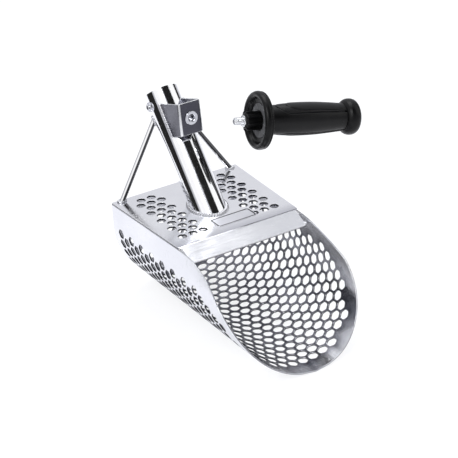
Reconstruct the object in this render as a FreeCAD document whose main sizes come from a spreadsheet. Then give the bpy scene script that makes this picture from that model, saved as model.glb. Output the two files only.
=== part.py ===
import FreeCAD, Part
import math
import os
import Sketcher

# Metal-detecting sand scoop with a leaning pole socket, a welded handle
# bracket, two brace rods and a loose screw-in side handle.
#
# World frame, millimetres: the origin is the centre of the pole socket's
# mouth, +Z is square to the top plate, the scoop's mouth opens towards -Y and
# +X is to the right when looking into the mouth.
#
# Pieces are drawn in local frames:
#   SCOOP_FRAME  - world directions, origin where the socket's axis meets the
#                  top plate's upper face
#   SOCKET_FRAME - Z up the socket's axis, origin at its mouth, -Y is its front
#   LOCK_FRAME   - Z out along the lock screw, origin on the socket's axis
#   BUSH_FRAME   - Z out of the bracket's front sheet, origin on its face
#   HANDLE_FRAME - Z along the side handle's axis, origin at the stud's tip

doc = FreeCAD.newDocument("SandScoop")
Vector = FreeCAD.Vector
Placement = FreeCAD.Placement
Rotation = FreeCAD.Rotation
ORIGIN = Vector(0, 0, 0)
X_AXIS, Y_AXIS, Z_AXIS = Vector(1, 0, 0), Vector(0, 1, 0), Vector(0, 0, 1)

# ---------------------------------------------------------------- dimensions
DIMS = {
    # pole socket
    "socket_od": 36.0, "socket_id": 32.0, "socket_len": 128.0, "socket_lean": 39.5,
    "socket_depth": 112.0, "stop_id": 29.0,
    # top plate and trough
    "plate_rear": 66.0, "plate_front": 60.0, "plate_rear_width": 150.0,
    "plate_front_width": 140.0, "plate_thk": 2.0, "sheet_thk": 1.5,
    "belly_rad": 75.0, "belly_depth": 26.0, "trough_len": 258.0,
    "tip_width": 129.6, "back_thk": 2.0,
    "lip_run": 21.0, "lip_drop": 9.4, "lip_width": 134.0,
    # perforation
    "hex_pitch": 12.0, "hex_flats": 9.6, "hex_first_row": 151.3, "plate_hex_flats": 8.6,
    # bracket and bush
    "bracket_width": 26.0, "bracket_thk": 2.0, "bush_flange_od": 14.5, "bush_stand": 1.4,
    "bush_od": 12.0, "bush_tail": 8.6, "bush_bore": 6.8,
    # pole lock screw
    "lock_down": 13.0, "lock_dia": 6.0, "lock_bore": 6.1, "lock_boss_od": 10.0,
    "lock_boss_top": 20.2, "lock_screw_out": 21.4, "lock_screw_in": 17.4,
    "lock_tip_dia": 5.0, "lock_tip_in": 16.05, "lock_tip_out": 17.35,
    # brace rods
    "rod_dia": 5.6, "rod_foot_x": 65.0, "rod_foot_back": 61.5,
    "rod_top_x": 15.0, "rod_top_y": 70.5, "rod_top_z": 76.7,
    # side handle
    "stud_dia": 8.0, "stud_thread": 9.4, "shank_dia": 7.6, "stud_out": 11.0,
    "stud_tail": 46.0, "anchor_flats": 13.0,
    "anchor_thk": 6.5, "captive_od": 12.0, "captive_id": 7.75, "captive_thk": 1.4,
    "hub_rad": 8.4, "hub_rib_rad": 10.2, "hub_len": 17.0, "guard_rad": 30.0,
    "guard_front": 22.5, "guard_back": 32.0, "core_rad": 9.5, "grip_start": 32.2,
    "grip_end": 121.0, "grip_rad_start": 14.2, "grip_rad_mid": 16.6,
    "grip_rad_end": 14.0, "panel_thk": 1.2, "cap_rad": 19.4, "cap_end": 137.5,
}
FIT = 0.02      # clearance between pieces that touch

sheet = doc.addObject("Spreadsheet::Sheet", "Dims")
sheet.Label = "Dims"
for row, (alias, value) in enumerate(DIMS.items(), 1):
    sheet.set("A%d" % row, alias)
    sheet.set("B%d" % row, "%g" % value)
    sheet.setAlias("B%d" % row, alias)
doc.recompute()


class Length:
    """A length that knows both its number and its spreadsheet formula."""

    def __init__(self, value, formula):
        self.value = float(value)
        self.formula = formula

    @staticmethod
    def of(x):
        return x if isinstance(x, Length) else Length(x, "%.6f" % x)

    @property
    def driven(self):
        return "Dims." in self.formula

    def __add__(self, other):
        other = Length.of(other)
        return Length(self.value + other.value, "(%s + %s)" % (self.formula, other.formula))

    def __sub__(self, other):
        other = Length.of(other)
        return Length(self.value - other.value, "(%s - (%s))" % (self.formula, other.formula))

    def __rsub__(self, other):
        return Length.of(other) - self

    def __mul__(self, other):
        other = Length.of(other)
        return Length(self.value * other.value, "(%s * (%s))" % (self.formula, other.formula))

    def __truediv__(self, other):
        other = Length.of(other)
        return Length(self.value / other.value, "(%s / (%s))" % (self.formula, other.formula))

    def __neg__(self):
        return Length(-self.value, "(0 - (%s))" % self.formula)


def dim(alias):
    return Length(DIMS[alias], "Dims." + alias)


# -------------------------------------------------------------------- frames
LEAN = DIMS["socket_lean"]
SOCKET_AXIS = Vector(0, math.sin(math.radians(LEAN)), math.cos(math.radians(LEAN)))
SOCKET_RAD = DIMS["socket_od"] / 2
SCOOP_FRAME = Placement(SOCKET_AXIS * -DIMS["socket_len"], Rotation())
SOCKET_FRAME = Placement(ORIGIN, Rotation(X_AXIS, -LEAN))
# the lock screw points out of the socket's left side
LOCK_FRAME = SOCKET_FRAME.multiply(
    Placement(Vector(0, 0, -DIMS["lock_down"]), Rotation(Y_AXIS, -90)))
# the side handle lies in front of the bracket and to its right, pointing
# right and a little down from the stud's tip
HANDLE_TIP = Vector(34.284, -85.082, -13.22)
HANDLE_AZIMUTH, HANDLE_ELEVATION = -8.92, -10.0
HANDLE_FRAME = Placement(
    HANDLE_TIP,
    Rotation(Z_AXIS, HANDLE_AZIMUTH) * Rotation(Y_AXIS, 90.0 - HANDLE_ELEVATION))

parts = []


def keep(obj, label, frame):
    """Label and place a finished piece and list it for export."""
    obj.Label = label
    obj.Placement = frame
    parts.append(obj)
    return obj


# ------------------------------------------------------------ sketch helpers
def new_body(name):
    return doc.addObject("PartDesign::Body", name)


def set_length(obj, prop, length):
    length = Length.of(length)
    setattr(obj, prop, length.value)
    if length.driven:
        obj.setExpression(prop, length.formula)


def new_sketch(body, name, role, offset=None):
    """Sketch on the body's origin plane with this role, or offset from it."""
    sketch = body.newObject("Sketcher::SketchObject", name)
    plane = next(o for o in body.Origin.OriginFeatures if o.Role == role)
    sketch.AttachmentSupport = [(plane, "")]
    sketch.MapMode = "FlatFace"
    if offset is not None:
        offset = Length.of(offset)
        sketch.AttachmentOffset = Placement(Vector(0, 0, offset.value), Rotation())
        if offset.driven:
            sketch.setExpression("AttachmentOffset.Base.z", offset.formula)
    return sketch


def constrain(sketch, length, *constraint):
    number = sketch.addConstraint(Sketcher.Constraint(*constraint, length.value))
    if length.driven:
        sketch.setExpression("Constraints[%d]" % number, length.formula)


def fix_point(sketch, geometry, point, x, y):
    for length, kind, axis in ((x, "DistanceX", -2), (y, "DistanceY", -1)):
        if abs(length.value) < 1e-9:
            sketch.addConstraint(Sketcher.Constraint("PointOnObject", geometry, point, axis))
        else:
            constrain(sketch, length, kind, -1, 1, geometry, point)


def circle(sketch, radius, x=0, y=0):
    radius, x, y = Length.of(radius), Length.of(x), Length.of(y)
    geometry = sketch.addGeometry(
        Part.Circle(Vector(x.value, y.value, 0), Z_AXIS, radius.value))
    fix_point(sketch, geometry, 3, x, y)
    constrain(sketch, radius, "Radius", geometry)


def add_lines(sketch, corners):
    return [sketch.addGeometry(Part.LineSegment(start, end))
            for start, end in zip(corners, corners[1:] + corners[:1])]


def polygon(sketch, points):
    """Closed outline, each corner held by its two coordinates."""
    points = [(Length.of(x), Length.of(y)) for x, y in points]
    lines = add_lines(sketch, [Vector(x.value, y.value, 0) for x, y in points])
    for line, following in zip(lines, lines[1:] + lines[:1]):
        sketch.addConstraint(Sketcher.Constraint("Coincident", line, 2, following, 1))
    for line, (x, y) in zip(lines, points):
        fix_point(sketch, line, 1, x, y)


def hexagon(sketch, flats, x=0.0, y=0.0, turn=0.0):
    """Unconstrained hexagon of a given width across its flats."""
    radius = flats / math.sqrt(3.0)
    angles = [math.radians(turn + 60 * k) for k in range(6)]
    add_lines(sketch, [Vector(x + radius * math.cos(a), y + radius * math.sin(a), 0)
                       for a in angles])


def pad(body, sketch, length, name, reverse=False):
    feature = body.newObject("PartDesign::Pad", name)
    feature.Profile = sketch
    set_length(feature, "Length", length)
    feature.Reversed = reverse
    sketch.Visibility = False
    doc.recompute()
    body.Tip = feature
    return feature


def pocket(body, sketch, length, name, reverse=False):
    before = body.Shape.Volume
    feature = body.newObject("PartDesign::Pocket", name)
    feature.Profile = sketch
    set_length(feature, "Length", length)
    feature.Reversed = reverse
    doc.recompute()
    body.Tip = feature
    doc.recompute()
    if not body.Shape.Volume < before - 1e-3:
        raise RuntimeError("pocket %s cuts nothing" % name)


def turn_outline(body, name, outline):
    """Revolve an outline of (radius, height) points about the local Z axis."""
    sketch = new_sketch(body, name + "_outline", "XZ_Plane")
    polygon(sketch, outline)
    feature = body.newObject("PartDesign::Revolution", name + "_turned")
    feature.Profile = sketch
    feature.ReferenceAxis = (sketch, ["V_Axis"])
    feature.Angle = 360.0
    doc.recompute()
    body.Tip = feature


def turned_piece(label, frame, outline):
    body = new_body(label)
    turn_outline(body, label, outline)
    keep(body, label, frame)


# ------------------------------------------------------------- shape helpers
def shape_piece(label, shape, frame):
    obj = doc.addObject("Part::Feature", label)
    obj.Shape = shape
    keep(obj, label, frame.multiply(shape.Placement))


def largest(shape):
    return max(shape.Solids, key=lambda solid: solid.Volume)


def local_shape(obj):
    """Copy of a placed piece's shape, back in the frame it was drawn in."""
    shape = obj.Shape.copy()
    shape.Placement = Placement()
    return shape


def closed_face(points):
    return Part.Face(Part.makePolygon(points + [points[0]]))


# ================================================================ SCOOP BODY
# scoop frame: y = 66 at the rear edge, falling to -192 at the trough's tip
REAR = DIMS["plate_rear"]
TIP = REAR - DIMS["trough_len"]
PLATE_THK = DIMS["plate_thk"]
SHEET_THK = DIMS["sheet_thk"]
BACK_THK = DIMS["back_thk"]
BELLY_RAD = DIMS["belly_rad"]
BELLY_DEPTH = DIMS["belly_depth"]
TIP_OVERRUN = 6.0       # the lofts run past the tip and are trimmed at the rim

# rim of the mouth in side view: (distance forward of the rear edge, height)
RIM = [
    (126.0, -2.0), (138.0, -2.3), (150.0, -3.6), (161.0, -6.2), (172.0, -10.0),
    (187.0, -16.6), (201.0, -25.2), (213.0, -35.8), (225.0, -49.0), (236.0, -64.0),
    (246.0, -80.0), (253.0, -92.0), (258.0, -103.0),
]

# hexagonal perforation, in staggered rows
HEX_PITCH = DIMS["hex_pitch"]
HEX_STEP = HEX_PITCH * math.sqrt(3.0) / 2.0
HEX_RAD = DIMS["hex_flats"] / math.sqrt(3.0)


def trough_loft(inset):
    """Solid trough, its sides and belly moved in by inset."""
    radius = BELLY_RAD - inset
    stations = ((REAR, DIMS["plate_rear_width"]), (TIP - TIP_OVERRUN, DIMS["tip_width"]))
    sections = []
    for y, width in stations:
        # straight upper walls and a half-round belly
        half_width = width / 2.0 - inset
        top_left = Vector(-half_width, y, -PLATE_THK)
        left = Vector(-radius, y, -BELLY_DEPTH)
        bottom = Vector(0, y, -BELLY_DEPTH - radius)
        right = Vector(radius, y, -BELLY_DEPTH)
        top_right = Vector(half_width, y, -PLATE_THK)
        sections.append(Part.Wire([
            Part.makeLine(top_left, left), Part.Arc(left, bottom, right).toShape(),
            Part.makeLine(right, top_right), Part.makeLine(top_right, top_left)]))
    return Part.makeLoft(sections, True, True)


def mouth_cutter():
    """Everything above and in front of the rim, across the whole width."""
    side, beyond, above = -100, TIP - 20, 20
    points = [Vector(side, REAR - forward, z) for forward, z in RIM]
    spline = Part.BSplineCurve()
    spline.interpolate(points)
    corners = [points[-1], Vector(side, beyond, RIM[-1][1]), Vector(side, beyond, above),
               Vector(side, points[0].y, above), points[0]]
    lines = [Part.makeLine(start, end) for start, end in zip(corners, corners[1:])]
    face = Part.Face(Part.Wire([spline.toShape()] + lines))
    return face.extrude(Vector(-2 * side, 0, 0))


def rim_height(forward):
    """Height of the rim at a distance forward of the rear edge."""
    if forward <= RIM[0][0]:
        return -PLATE_THK
    for (y0, z0), (y1, z1) in zip(RIM, RIM[1:]):
        if y0 <= forward <= y1:
            return z0 + (z1 - z0) * (forward - y0) / (y1 - y0)
    return -999.0


def rim_gap(forward, z):
    """Smallest side-view distance from a point to the rim line."""
    gaps = []
    for (y0, z0), (y1, z1) in zip(RIM, RIM[1:]):
        dy, dz = y1 - y0, z1 - z0
        along = ((forward - y0) * dy + (z - z0) * dz) / (dy * dy + dz * dz)
        along = max(0.0, min(1.0, along))
        gaps.append(math.hypot(forward - y0 - along * dy, z - z0 - along * dz))
    return min(gaps)


def hex_cutter(centre, corner_dir, flat_dir, depth):
    """Hexagonal prism with two corners along corner_dir, extruded by depth."""
    angles = [math.radians(60 * k) for k in range(6)]
    corners = [centre + corner_dir * (HEX_RAD * math.cos(a)) + flat_dir * (HEX_RAD * math.sin(a))
               for a in angles]
    return closed_face(corners).extrude(depth)


def belly_cutters():
    """Holes square to the belly, two corners of each along the trough."""
    first_forward, last_forward = 9.0, 252
    max_angle = math.radians(91.0)      # either side of straight down
    rim_margin = 15.0
    inner_rad, outer_rad = BELLY_RAD - SHEET_THK - 3.0, BELLY_RAD + 2.0
    cutters = []
    for i in range(-14, 11):
        forward = DIMS["hex_first_row"] + i * HEX_STEP
        if forward < first_forward or forward > last_forward:
            continue
        for k in range(-21, 22):
            angle = k * HEX_PITCH / 2.0 / BELLY_RAD
            if (i + k) % 2 or abs(angle) > max_angle:
                continue
            z = -BELLY_DEPTH - BELLY_RAD * math.cos(angle)
            if z > rim_height(forward) or rim_gap(forward, z) < rim_margin:
                continue
            outward = Vector(math.sin(angle), 0, -math.cos(angle))
            tangent = Vector(math.cos(angle), 0, math.sin(angle))
            centre = Vector(0, REAR - forward, -BELLY_DEPTH) + outward * inner_rad
            cutters.append(hex_cutter(centre, Y_AXIS, tangent,
                                      outward * (outer_rad - inner_rad)))
    return Part.makeCompound(cutters)


def make_trough(inner):
    shell = largest(trough_loft(0.0).cut(inner.fuse(mouth_cutter())))
    shape_piece("scoop_trough", largest(shell.cut(belly_cutters())), SCOOP_FRAME)


def make_back_plate(inner):
    """Perforated plate that fills the trough's rear end."""
    centre_row = -55.0
    highest = -17
    side_margin, belly_margin = 14, 15
    overcut = 2
    slab = Part.makeBox(200, BACK_THK, 200, Vector(-100, REAR - BACK_THK, -200))
    plate = inner.common(slab)
    cutters = []
    for i in range(-8, 9):
        for k in range(-20, 21):
            x, z = i * HEX_STEP, centre_row + k * HEX_PITCH / 2.0
            near_belly = (z < -BELLY_DEPTH
                          and math.hypot(x, z + BELLY_DEPTH) > BELLY_RAD - belly_margin)
            near_side = abs(x) > BELLY_RAD - side_margin
            if (i + k) % 2 or z > highest or near_belly or near_side:
                continue
            centre = Vector(x, REAR - BACK_THK - overcut, z)
            cutters.append(hex_cutter(centre, X_AXIS, Z_AXIS,
                                      Vector(0, BACK_THK + 2 * overcut, 0)))
    plate = plate.cut(Part.makeCompound(cutters))
    shape_piece("back_plate", largest(plate), SCOOP_FRAME)


def make_top_plate():
    """Tapering sheet with a bent-down front lip and two fields of holes."""
    body = new_body("top_plate")
    rear, front, thickness = dim("plate_rear"), -dim("plate_front"), dim("plate_thk")
    rear_half, front_half = dim("plate_rear_width") / 2, dim("plate_front_width") / 2
    sketch = new_sketch(body, "plate_outline", "XY_Plane", -thickness)
    polygon(sketch, [(-rear_half, rear), (-front_half, front),
                     (front_half, front), (rear_half, rear)])
    pad(body, sketch, thickness, "plate_sheet")

    overlap = 3.0       # how far the lip's section reaches back into the sheet
    lip_tip, lip_drop = front - dim("lip_run"), dim("lip_drop")
    sketch = new_sketch(body, "lip_outline", "YZ_Plane", -dim("lip_width") / 2)
    polygon(sketch, [(front + overlap, 0), (front, 0), (lip_tip, -lip_drop),
                     (lip_tip + 0.8, -lip_drop - 1.83), (front + 0.4, -thickness),
                     (front + overlap, -thickness)])
    pad(body, sketch, dim("lip_width"), "plate_lip")

    front_row = REAR - 107.6
    outer_column = 54.0
    sketch = new_sketch(body, "hole_field", "XY_Plane")
    for j in range(10):
        for k in range(j % 2, 5, 2):
            for side in (-1, 1):
                hexagon(sketch, DIMS["plate_hex_flats"],
                        side * (outer_column - k * HEX_PITCH / 2.0),
                        front_row + j * HEX_STEP, turn=30.0)
    pocket(body, sketch, thickness * 2, "plate_holes")
    keep(body, "top_plate", SCOOP_FRAME)


trough_inside = trough_loft(SHEET_THK)
make_trough(trough_inside)
make_back_plate(trough_inside)
make_top_plate()


# =============================================================== POLE SOCKET
# solid cylinder of the socket's outer size, in the socket's frame
SOCKET_BAR = Part.makeCylinder(SOCKET_RAD, 200, Vector(0, 0, -170), Z_AXIS)


def make_socket_tube():
    body = new_body("socket_tube")
    sketch = new_sketch(body, "socket_ring", "XY_Plane")
    circle(sketch, dim("socket_od") / 2)
    circle(sketch, dim("socket_id") / 2)
    pad(body, sketch, dim("socket_len") + 20.0, "socket_wall", reverse=True)

    # a stop shoulder inside the socket, where the pole's end lands
    sketch = new_sketch(body, "stop_ring", "XY_Plane", -dim("socket_depth"))
    circle(sketch, dim("socket_id") / 2 + 0.5)
    circle(sketch, dim("stop_id") / 2)
    pad(body, sketch, 30.0, "stop_shoulder", reverse=True)

    # foot cut to the plane of the top plate
    reach, depth = 40.0, 60
    foot = -DIMS["socket_len"]
    rise = reach * math.tan(math.radians(LEAN))
    sketch = new_sketch(body, "foot_cut", "YZ_Plane", -reach)
    polygon(sketch, [(-reach, foot - rise), (reach, foot + rise),
                     (reach, foot - depth), (-reach, foot - depth)])
    pocket(body, sketch, 2 * reach, "foot_plane", reverse=True)

    # clearance hole for the lock screw through the socket's left wall
    sketch = new_sketch(body, "lock_hole", "YZ_Plane")
    circle(sketch, dim("lock_bore") / 2, 0, -dim("lock_down"))
    pocket(body, sketch, 30.0, "lock_hole_cut")
    keep(body, "socket_tube", SOCKET_FRAME)


def make_lock_boss():
    """Chamfered boss on the socket's left side, coped to its wall."""
    base, top = 12.0, DIMS["lock_boss_top"]
    blank = Part.makeCylinder(DIMS["lock_boss_od"] / 2, top - base, Vector(0, 0, base))
    top_edges = [e for e in blank.Edges
                 if abs(e.BoundBox.ZMax - top) < 1e-6 and abs(e.BoundBox.ZMin - top) < 1e-6]
    blank = blank.makeChamfer(0.6, top_edges)
    bore = Part.makeCylinder(DIMS["lock_bore"] / 2, 30, Vector(0, 0, 5))
    bar = SOCKET_BAR.copy()
    bar.Placement = LOCK_FRAME.inverse().multiply(SOCKET_FRAME).multiply(bar.Placement)
    shape_piece("lock_boss", blank.cut(bore.fuse(bar)).Solids[0], LOCK_FRAME)


def make_lock_screw():
    """Set screw with a hexagon socket in its outer end."""
    body = new_body("lock_screw")
    radius, chamfer = dim("lock_dia") / 2, 0.5
    inner, outer = dim("lock_screw_in"), dim("lock_screw_out")
    turn_outline(body, "lock_screw", [
        (0, inner), (radius - chamfer, inner), (radius, inner + chamfer),
        (radius, outer - chamfer), (radius - chamfer, outer), (0, outer)])
    sketch = new_sketch(body, "lock_socket", "XY_Plane", outer)
    hexagon(sketch, flats=3.0)
    pocket(body, sketch, 2.4, "lock_socket_cut")
    keep(body, "lock_screw", LOCK_FRAME)


def make_lock_tip():
    """Short disc against the screw's inner end."""
    radius, chamfer = dim("lock_tip_dia") / 2, 0.4
    inner, outer = dim("lock_tip_in"), dim("lock_tip_out")
    turned_piece("lock_tip", LOCK_FRAME, [
        (0, inner), (radius - chamfer, inner), (radius, inner + chamfer),
        (radius, outer), (0, outer)])


make_socket_tube()
make_lock_boss()
make_lock_screw()
make_lock_tip()


# ============================================================ HANDLE BRACKET
# corners of the folded sheet in side view, (y, z) in the socket's frame
TOP_REAR, TOP_FRONT = (-10.0, -14.2), (-49.6, -30.3)
LOW_FRONT, LOW_REAR = (-31.2, -58.7), (-10.0, -52.2)
FRONT_SPAN = math.hypot(LOW_FRONT[0] - TOP_FRONT[0], LOW_FRONT[1] - TOP_FRONT[1])
# unit vector down the front sheet, and its outward normal (towards -Y)
FRONT_DOWN = Vector(0, (LOW_FRONT[0] - TOP_FRONT[0]) / FRONT_SPAN,
                    (LOW_FRONT[1] - TOP_FRONT[1]) / FRONT_SPAN)
FRONT_NORMAL = Vector(0, FRONT_DOWN.z, -FRONT_DOWN.y)
BUSH_CENTRE = Vector(0, (TOP_FRONT[0] + LOW_FRONT[0]) / 2, (TOP_FRONT[1] + LOW_FRONT[1]) / 2)
BUSH_TURN = Rotation(Z_AXIS, FRONT_NORMAL)
BUSH_FRAME = SOCKET_FRAME.multiply(Placement(BUSH_CENTRE, BUSH_TURN))


def make_bracket():
    """Sheet folded round three sides, saddled on the socket, with a bush hole."""
    body = new_body("bracket_sheet")
    width, thickness = dim("bracket_width"), dim("bracket_thk")
    sketch = new_sketch(body, "bracket_side", "YZ_Plane", -width / 2)
    polygon(sketch, [TOP_REAR, TOP_FRONT, LOW_FRONT, LOW_REAR])
    block = pad(body, sketch, width, "bracket_block")

    # round the two bends down the sides of the front sheet
    bends = ["Edge%d" % n for n, e in enumerate(body.Shape.Edges, 1)
             if abs(e.BoundBox.XMax - e.BoundBox.XMin) < 1e-6
             and abs(e.BoundBox.YMin - TOP_FRONT[0]) < 1e-3
             and abs(e.BoundBox.YMax - LOW_FRONT[0]) < 1e-3]
    fillet = body.newObject("PartDesign::Fillet", "bracket_bend")
    fillet.Base = (block, bends)
    fillet.Radius = 3.0
    doc.recompute()
    body.Tip = fillet

    # hollow it out, leaving it open above, below and behind
    overrun, behind = 25, 15.0
    inset = FRONT_NORMAL * DIMS["bracket_thk"]
    top = Vector(0, *TOP_FRONT) - inset - FRONT_DOWN * overrun
    low = Vector(0, *LOW_FRONT) - inset + FRONT_DOWN * overrun
    sketch = new_sketch(body, "bracket_inside", "YZ_Plane", -(width / 2 - thickness))
    polygon(sketch, [(top.y, top.z), (low.y, low.z), (behind, low.z), (behind, top.z)])
    pocket(body, sketch, width - thickness * 2, "bracket_hollow", reverse=True)

    sketch = new_sketch(body, "bracket_saddle", "XY_Plane")
    circle(sketch, dim("socket_od") / 2)
    pocket(body, sketch, 90.0, "bracket_saddle_cut")

    hole = doc.addObject("Part::Cylinder", "bush_hole")
    set_length(hole, "Radius", dim("bush_od") / 2 + FIT)
    hole.Height = 20
    hole.Placement = Placement(BUSH_CENTRE - FRONT_NORMAL * 10, BUSH_TURN)
    cut = doc.addObject("Part::Cut", "handle_bracket")
    cut.Base, cut.Tool = body, hole
    doc.recompute()
    return keep(cut, "handle_bracket", SOCKET_FRAME)


def make_bush():
    """Flanged bush through the bracket's front sheet."""
    bore, flange, barrel = dim("bush_bore") / 2, dim("bush_flange_od") / 2, dim("bush_od") / 2
    tail, stand = dim("bush_tail"), dim("bush_stand")
    edge, countersink = 0.4, 0.7
    turned_piece("handle_bush", BUSH_FRAME, [
        (bore, -tail), (barrel - edge, -tail), (barrel, edge - tail), (barrel, FIT),
        (flange, FIT), (flange, stand - edge), (flange - edge, stand),
        (bore + countersink, stand), (bore, stand - countersink)])


def make_bracket_welds(bracket):
    """Round-ended beads that hold the bracket's side sheets to the socket."""
    radius, low, high = 1.7, -51.0, -17.0
    beads = []
    for side in (-1, 1):
        x, y = side * 13.7, -12.6
        bead = Part.makeCylinder(radius, high - low, Vector(x, y, low), Z_AXIS)
        for z in (low, high):
            bead = bead.fuse(Part.makeSphere(radius, Vector(x, y, z)))
        beads.append(largest(bead.cut(SOCKET_BAR.fuse(local_shape(bracket)))))
    shape_piece("bracket_welds", Part.makeCompound(beads), SOCKET_FRAME)


handle_bracket = make_bracket()
make_bush()
make_bracket_welds(handle_bracket)


# ==================================================== SOCKET WELD AND BRACES
# trimming solids in the scoop's frame: the socket, and all below the plate's top
TRIM_LEN, TRIM_START = 260, SOCKET_AXIS * -60.0
FLOOR_SIZE, FLOOR_CORNER = (300, 300, 60), Vector(-150, -150, -60)
SOCKET_TRIM = Part.makeCylinder(SOCKET_RAD, TRIM_LEN, TRIM_START, SOCKET_AXIS)
TRIM = SOCKET_TRIM.fuse(Part.makeBox(*FLOOR_SIZE, FLOOR_CORNER))


def make_socket_weld():
    """Round bead swept along the ellipse where the socket meets the plate."""
    bead_rad, outset, lift = 2.1, 0.9, 0.7
    long_rad = SOCKET_RAD / SOCKET_AXIS.z + outset
    path = Part.Ellipse(ORIGIN, long_rad, SOCKET_RAD + outset).toShape()
    path.rotate(ORIGIN, Z_AXIS, 90)
    path.translate(Vector(0, 0, lift))
    start = path.valueAt(path.FirstParameter)
    tangent = path.tangentAt(path.FirstParameter)
    profile = Part.Wire([Part.Circle(start, tangent, bead_rad).toShape()])
    weld = Part.Wire([path]).makePipeShell([profile], True, True)
    shape_piece("socket_weld", largest(weld.cut(TRIM)), SCOOP_FRAME)


def make_brace_rod(side, label):
    """Rod from the plate up to the socket's wall; returns it with its line."""
    overrun = 6.0
    foot = Vector(side * DIMS["rod_foot_x"], DIMS["rod_foot_back"], 0)
    top = Vector(side * DIMS["rod_top_x"], DIMS["rod_top_y"], DIMS["rod_top_z"])
    run = top - foot
    unit = Vector(run).normalize()
    bar = doc.addObject("Part::Cylinder", label + "_bar")
    set_length(bar, "Radius", dim("rod_dia") / 2)
    bar.Height = run.Length + overrun
    bar.Placement = Placement(foot - unit * overrun, Rotation(Z_AXIS, run))
    cope = doc.addObject("Part::Cylinder", label + "_cope")
    set_length(cope, "Radius", dim("socket_od") / 2)
    cope.Height = TRIM_LEN
    cope.Placement = Placement(TRIM_START, Rotation(Z_AXIS, SOCKET_AXIS))
    floor = doc.addObject("Part::Box", label + "_floor")
    floor.Length, floor.Width, floor.Height = FLOOR_SIZE
    floor.Placement = Placement(FLOOR_CORNER, Rotation())
    trim = doc.addObject("Part::Fuse", label + "_trim")
    trim.Base, trim.Tool = cope, floor
    rod = doc.addObject("Part::Cut", label)
    rod.Base, rod.Tool = bar, trim
    doc.recompute()
    if len(rod.Shape.Solids) != 1:
        raise RuntimeError("brace rod is in %d pieces" % len(rod.Shape.Solids))
    keep(rod, label, SCOOP_FRAME)
    return rod, foot, top, unit


def wall_point(top, unit):
    """First point down the rod's centre line that is outside the socket."""
    step, count = 0.25, 0
    point = top
    while (point - SOCKET_AXIS * point.dot(SOCKET_AXIS)).Length < SOCKET_RAD:
        count += 1
        point = top - unit * (count * step)
    return point


def make_brace_welds(rods):
    """A blob of weld at each end of both rods."""
    blob_rad, foot_lift = 4.1, Vector(0, 0, 0.3)
    blobs = []
    for rod, foot, top, unit in rods:
        for centre in (foot + foot_lift, wall_point(top, unit)):
            blob = Part.makeSphere(blob_rad, centre).cut(TRIM.fuse(local_shape(rod)))
            blobs.append(largest(blob))
    shape_piece("brace_welds", Part.makeCompound(blobs), SCOOP_FRAME)


make_socket_weld()
make_brace_welds([make_brace_rod(-1, "brace_rod_left"), make_brace_rod(1, "brace_rod_right")])

# =============================================================== SIDE HANDLE
SHANK_RAD = dim("shank_dia") / 2
SHANK_BORE = SHANK_RAD + FIT
ANCHOR_INSET = 1.5      # from the stud's tail to its hexagonal anchor


def make_stud():
    """Threaded end, plain shank and a hexagonal anchor near the tail."""
    body = new_body("handle_stud")
    radius, chamfer = dim("stud_dia") / 2, 0.9
    thread, tail = dim("stud_thread"), dim("stud_tail")
    turn_outline(body, "stud", [
        (0, 0), (radius - chamfer, 0), (radius, chamfer), (radius, thread),
        (SHANK_RAD, thread), (SHANK_RAD, tail), (0, tail)])
    anchor_start = tail - ANCHOR_INSET - dim("anchor_thk")
    sketch = new_sketch(body, "anchor_outline", "XY_Plane", anchor_start)
    hexagon(sketch, DIMS["anchor_flats"])
    pad(body, sketch, dim("anchor_thk"), "stud_anchor")
    keep(body, "handle_stud", HANDLE_FRAME)


def make_washer():
    """Washer on the shank, just short of the hub."""
    inner, outer = dim("captive_id") / 2, dim("captive_od") / 2
    gap = 0.1
    start, end = dim("stud_out") - dim("captive_thk") - gap, dim("stud_out") - gap
    turned_piece("captive_washer", HANDLE_FRAME,
                 [(inner, start), (outer, start), (outer, end), (inner, end)])


def make_hub():
    """Sleeve on the shank with eight lengthwise ribs."""
    body = new_body("handle_hub")
    start, radius, rib_rad = dim("stud_out"), dim("hub_rad"), dim("hub_rib_rad")
    end = start + dim("hub_len") - FIT
    turn_outline(body, "hub", [
        (SHANK_BORE, start), (radius - 1.0, start), (radius, start + 1.2),
        (radius, end), (SHANK_BORE, end)])
    rib_inset = 0.6
    sketch = new_sketch(body, "rib_outline", "XY_Plane", start + rib_inset)
    polygon(sketch, [(6.0, -1.6), (rib_rad, -1.1), (rib_rad, 1.1), (6.0, 1.6)])
    rib = pad(body, sketch, dim("hub_len") - (rib_inset + FIT), "hub_rib")
    pattern = body.newObject("PartDesign::PolarPattern", "hub_ribs")
    pattern.Originals = [rib]
    pattern.Axis = (sketch, ["N_Axis"])
    pattern.Angle = 360.0
    pattern.Occurrences = 8
    body.Tip = pattern
    doc.recompute()
    keep(body, "handle_hub", HANDLE_FRAME)


def make_guard():
    """Disc with a rounded rim that stands forward of its web."""
    front, back, rim = dim("guard_front"), dim("guard_back"), dim("guard_rad")
    web = front + 5.5
    turned_piece("handle_guard", HANDLE_FRAME, [
        (SHANK_BORE, web), (rim - 7.6, web), (rim - 7.0, front + 2.4), (rim - 6.2, front + 0.9),
        (rim - 4.9, front + 0.15), (rim - 3.6, front), (rim - 2.2, front + 0.4),
        (rim - 0.9, front + 1.5), (rim - 0.2, front + 3.1), (rim, front + 4.6),
        (rim - 0.1, front + 6.2), (rim - 0.8, front + 6.9), (rim - 0.8, front + 7.5),
        (rim - 0.5, front + 8.1), (rim - 1.2, front + 9.1), (rim - 2.6, back),
        (SHANK_BORE, back)])


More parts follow.
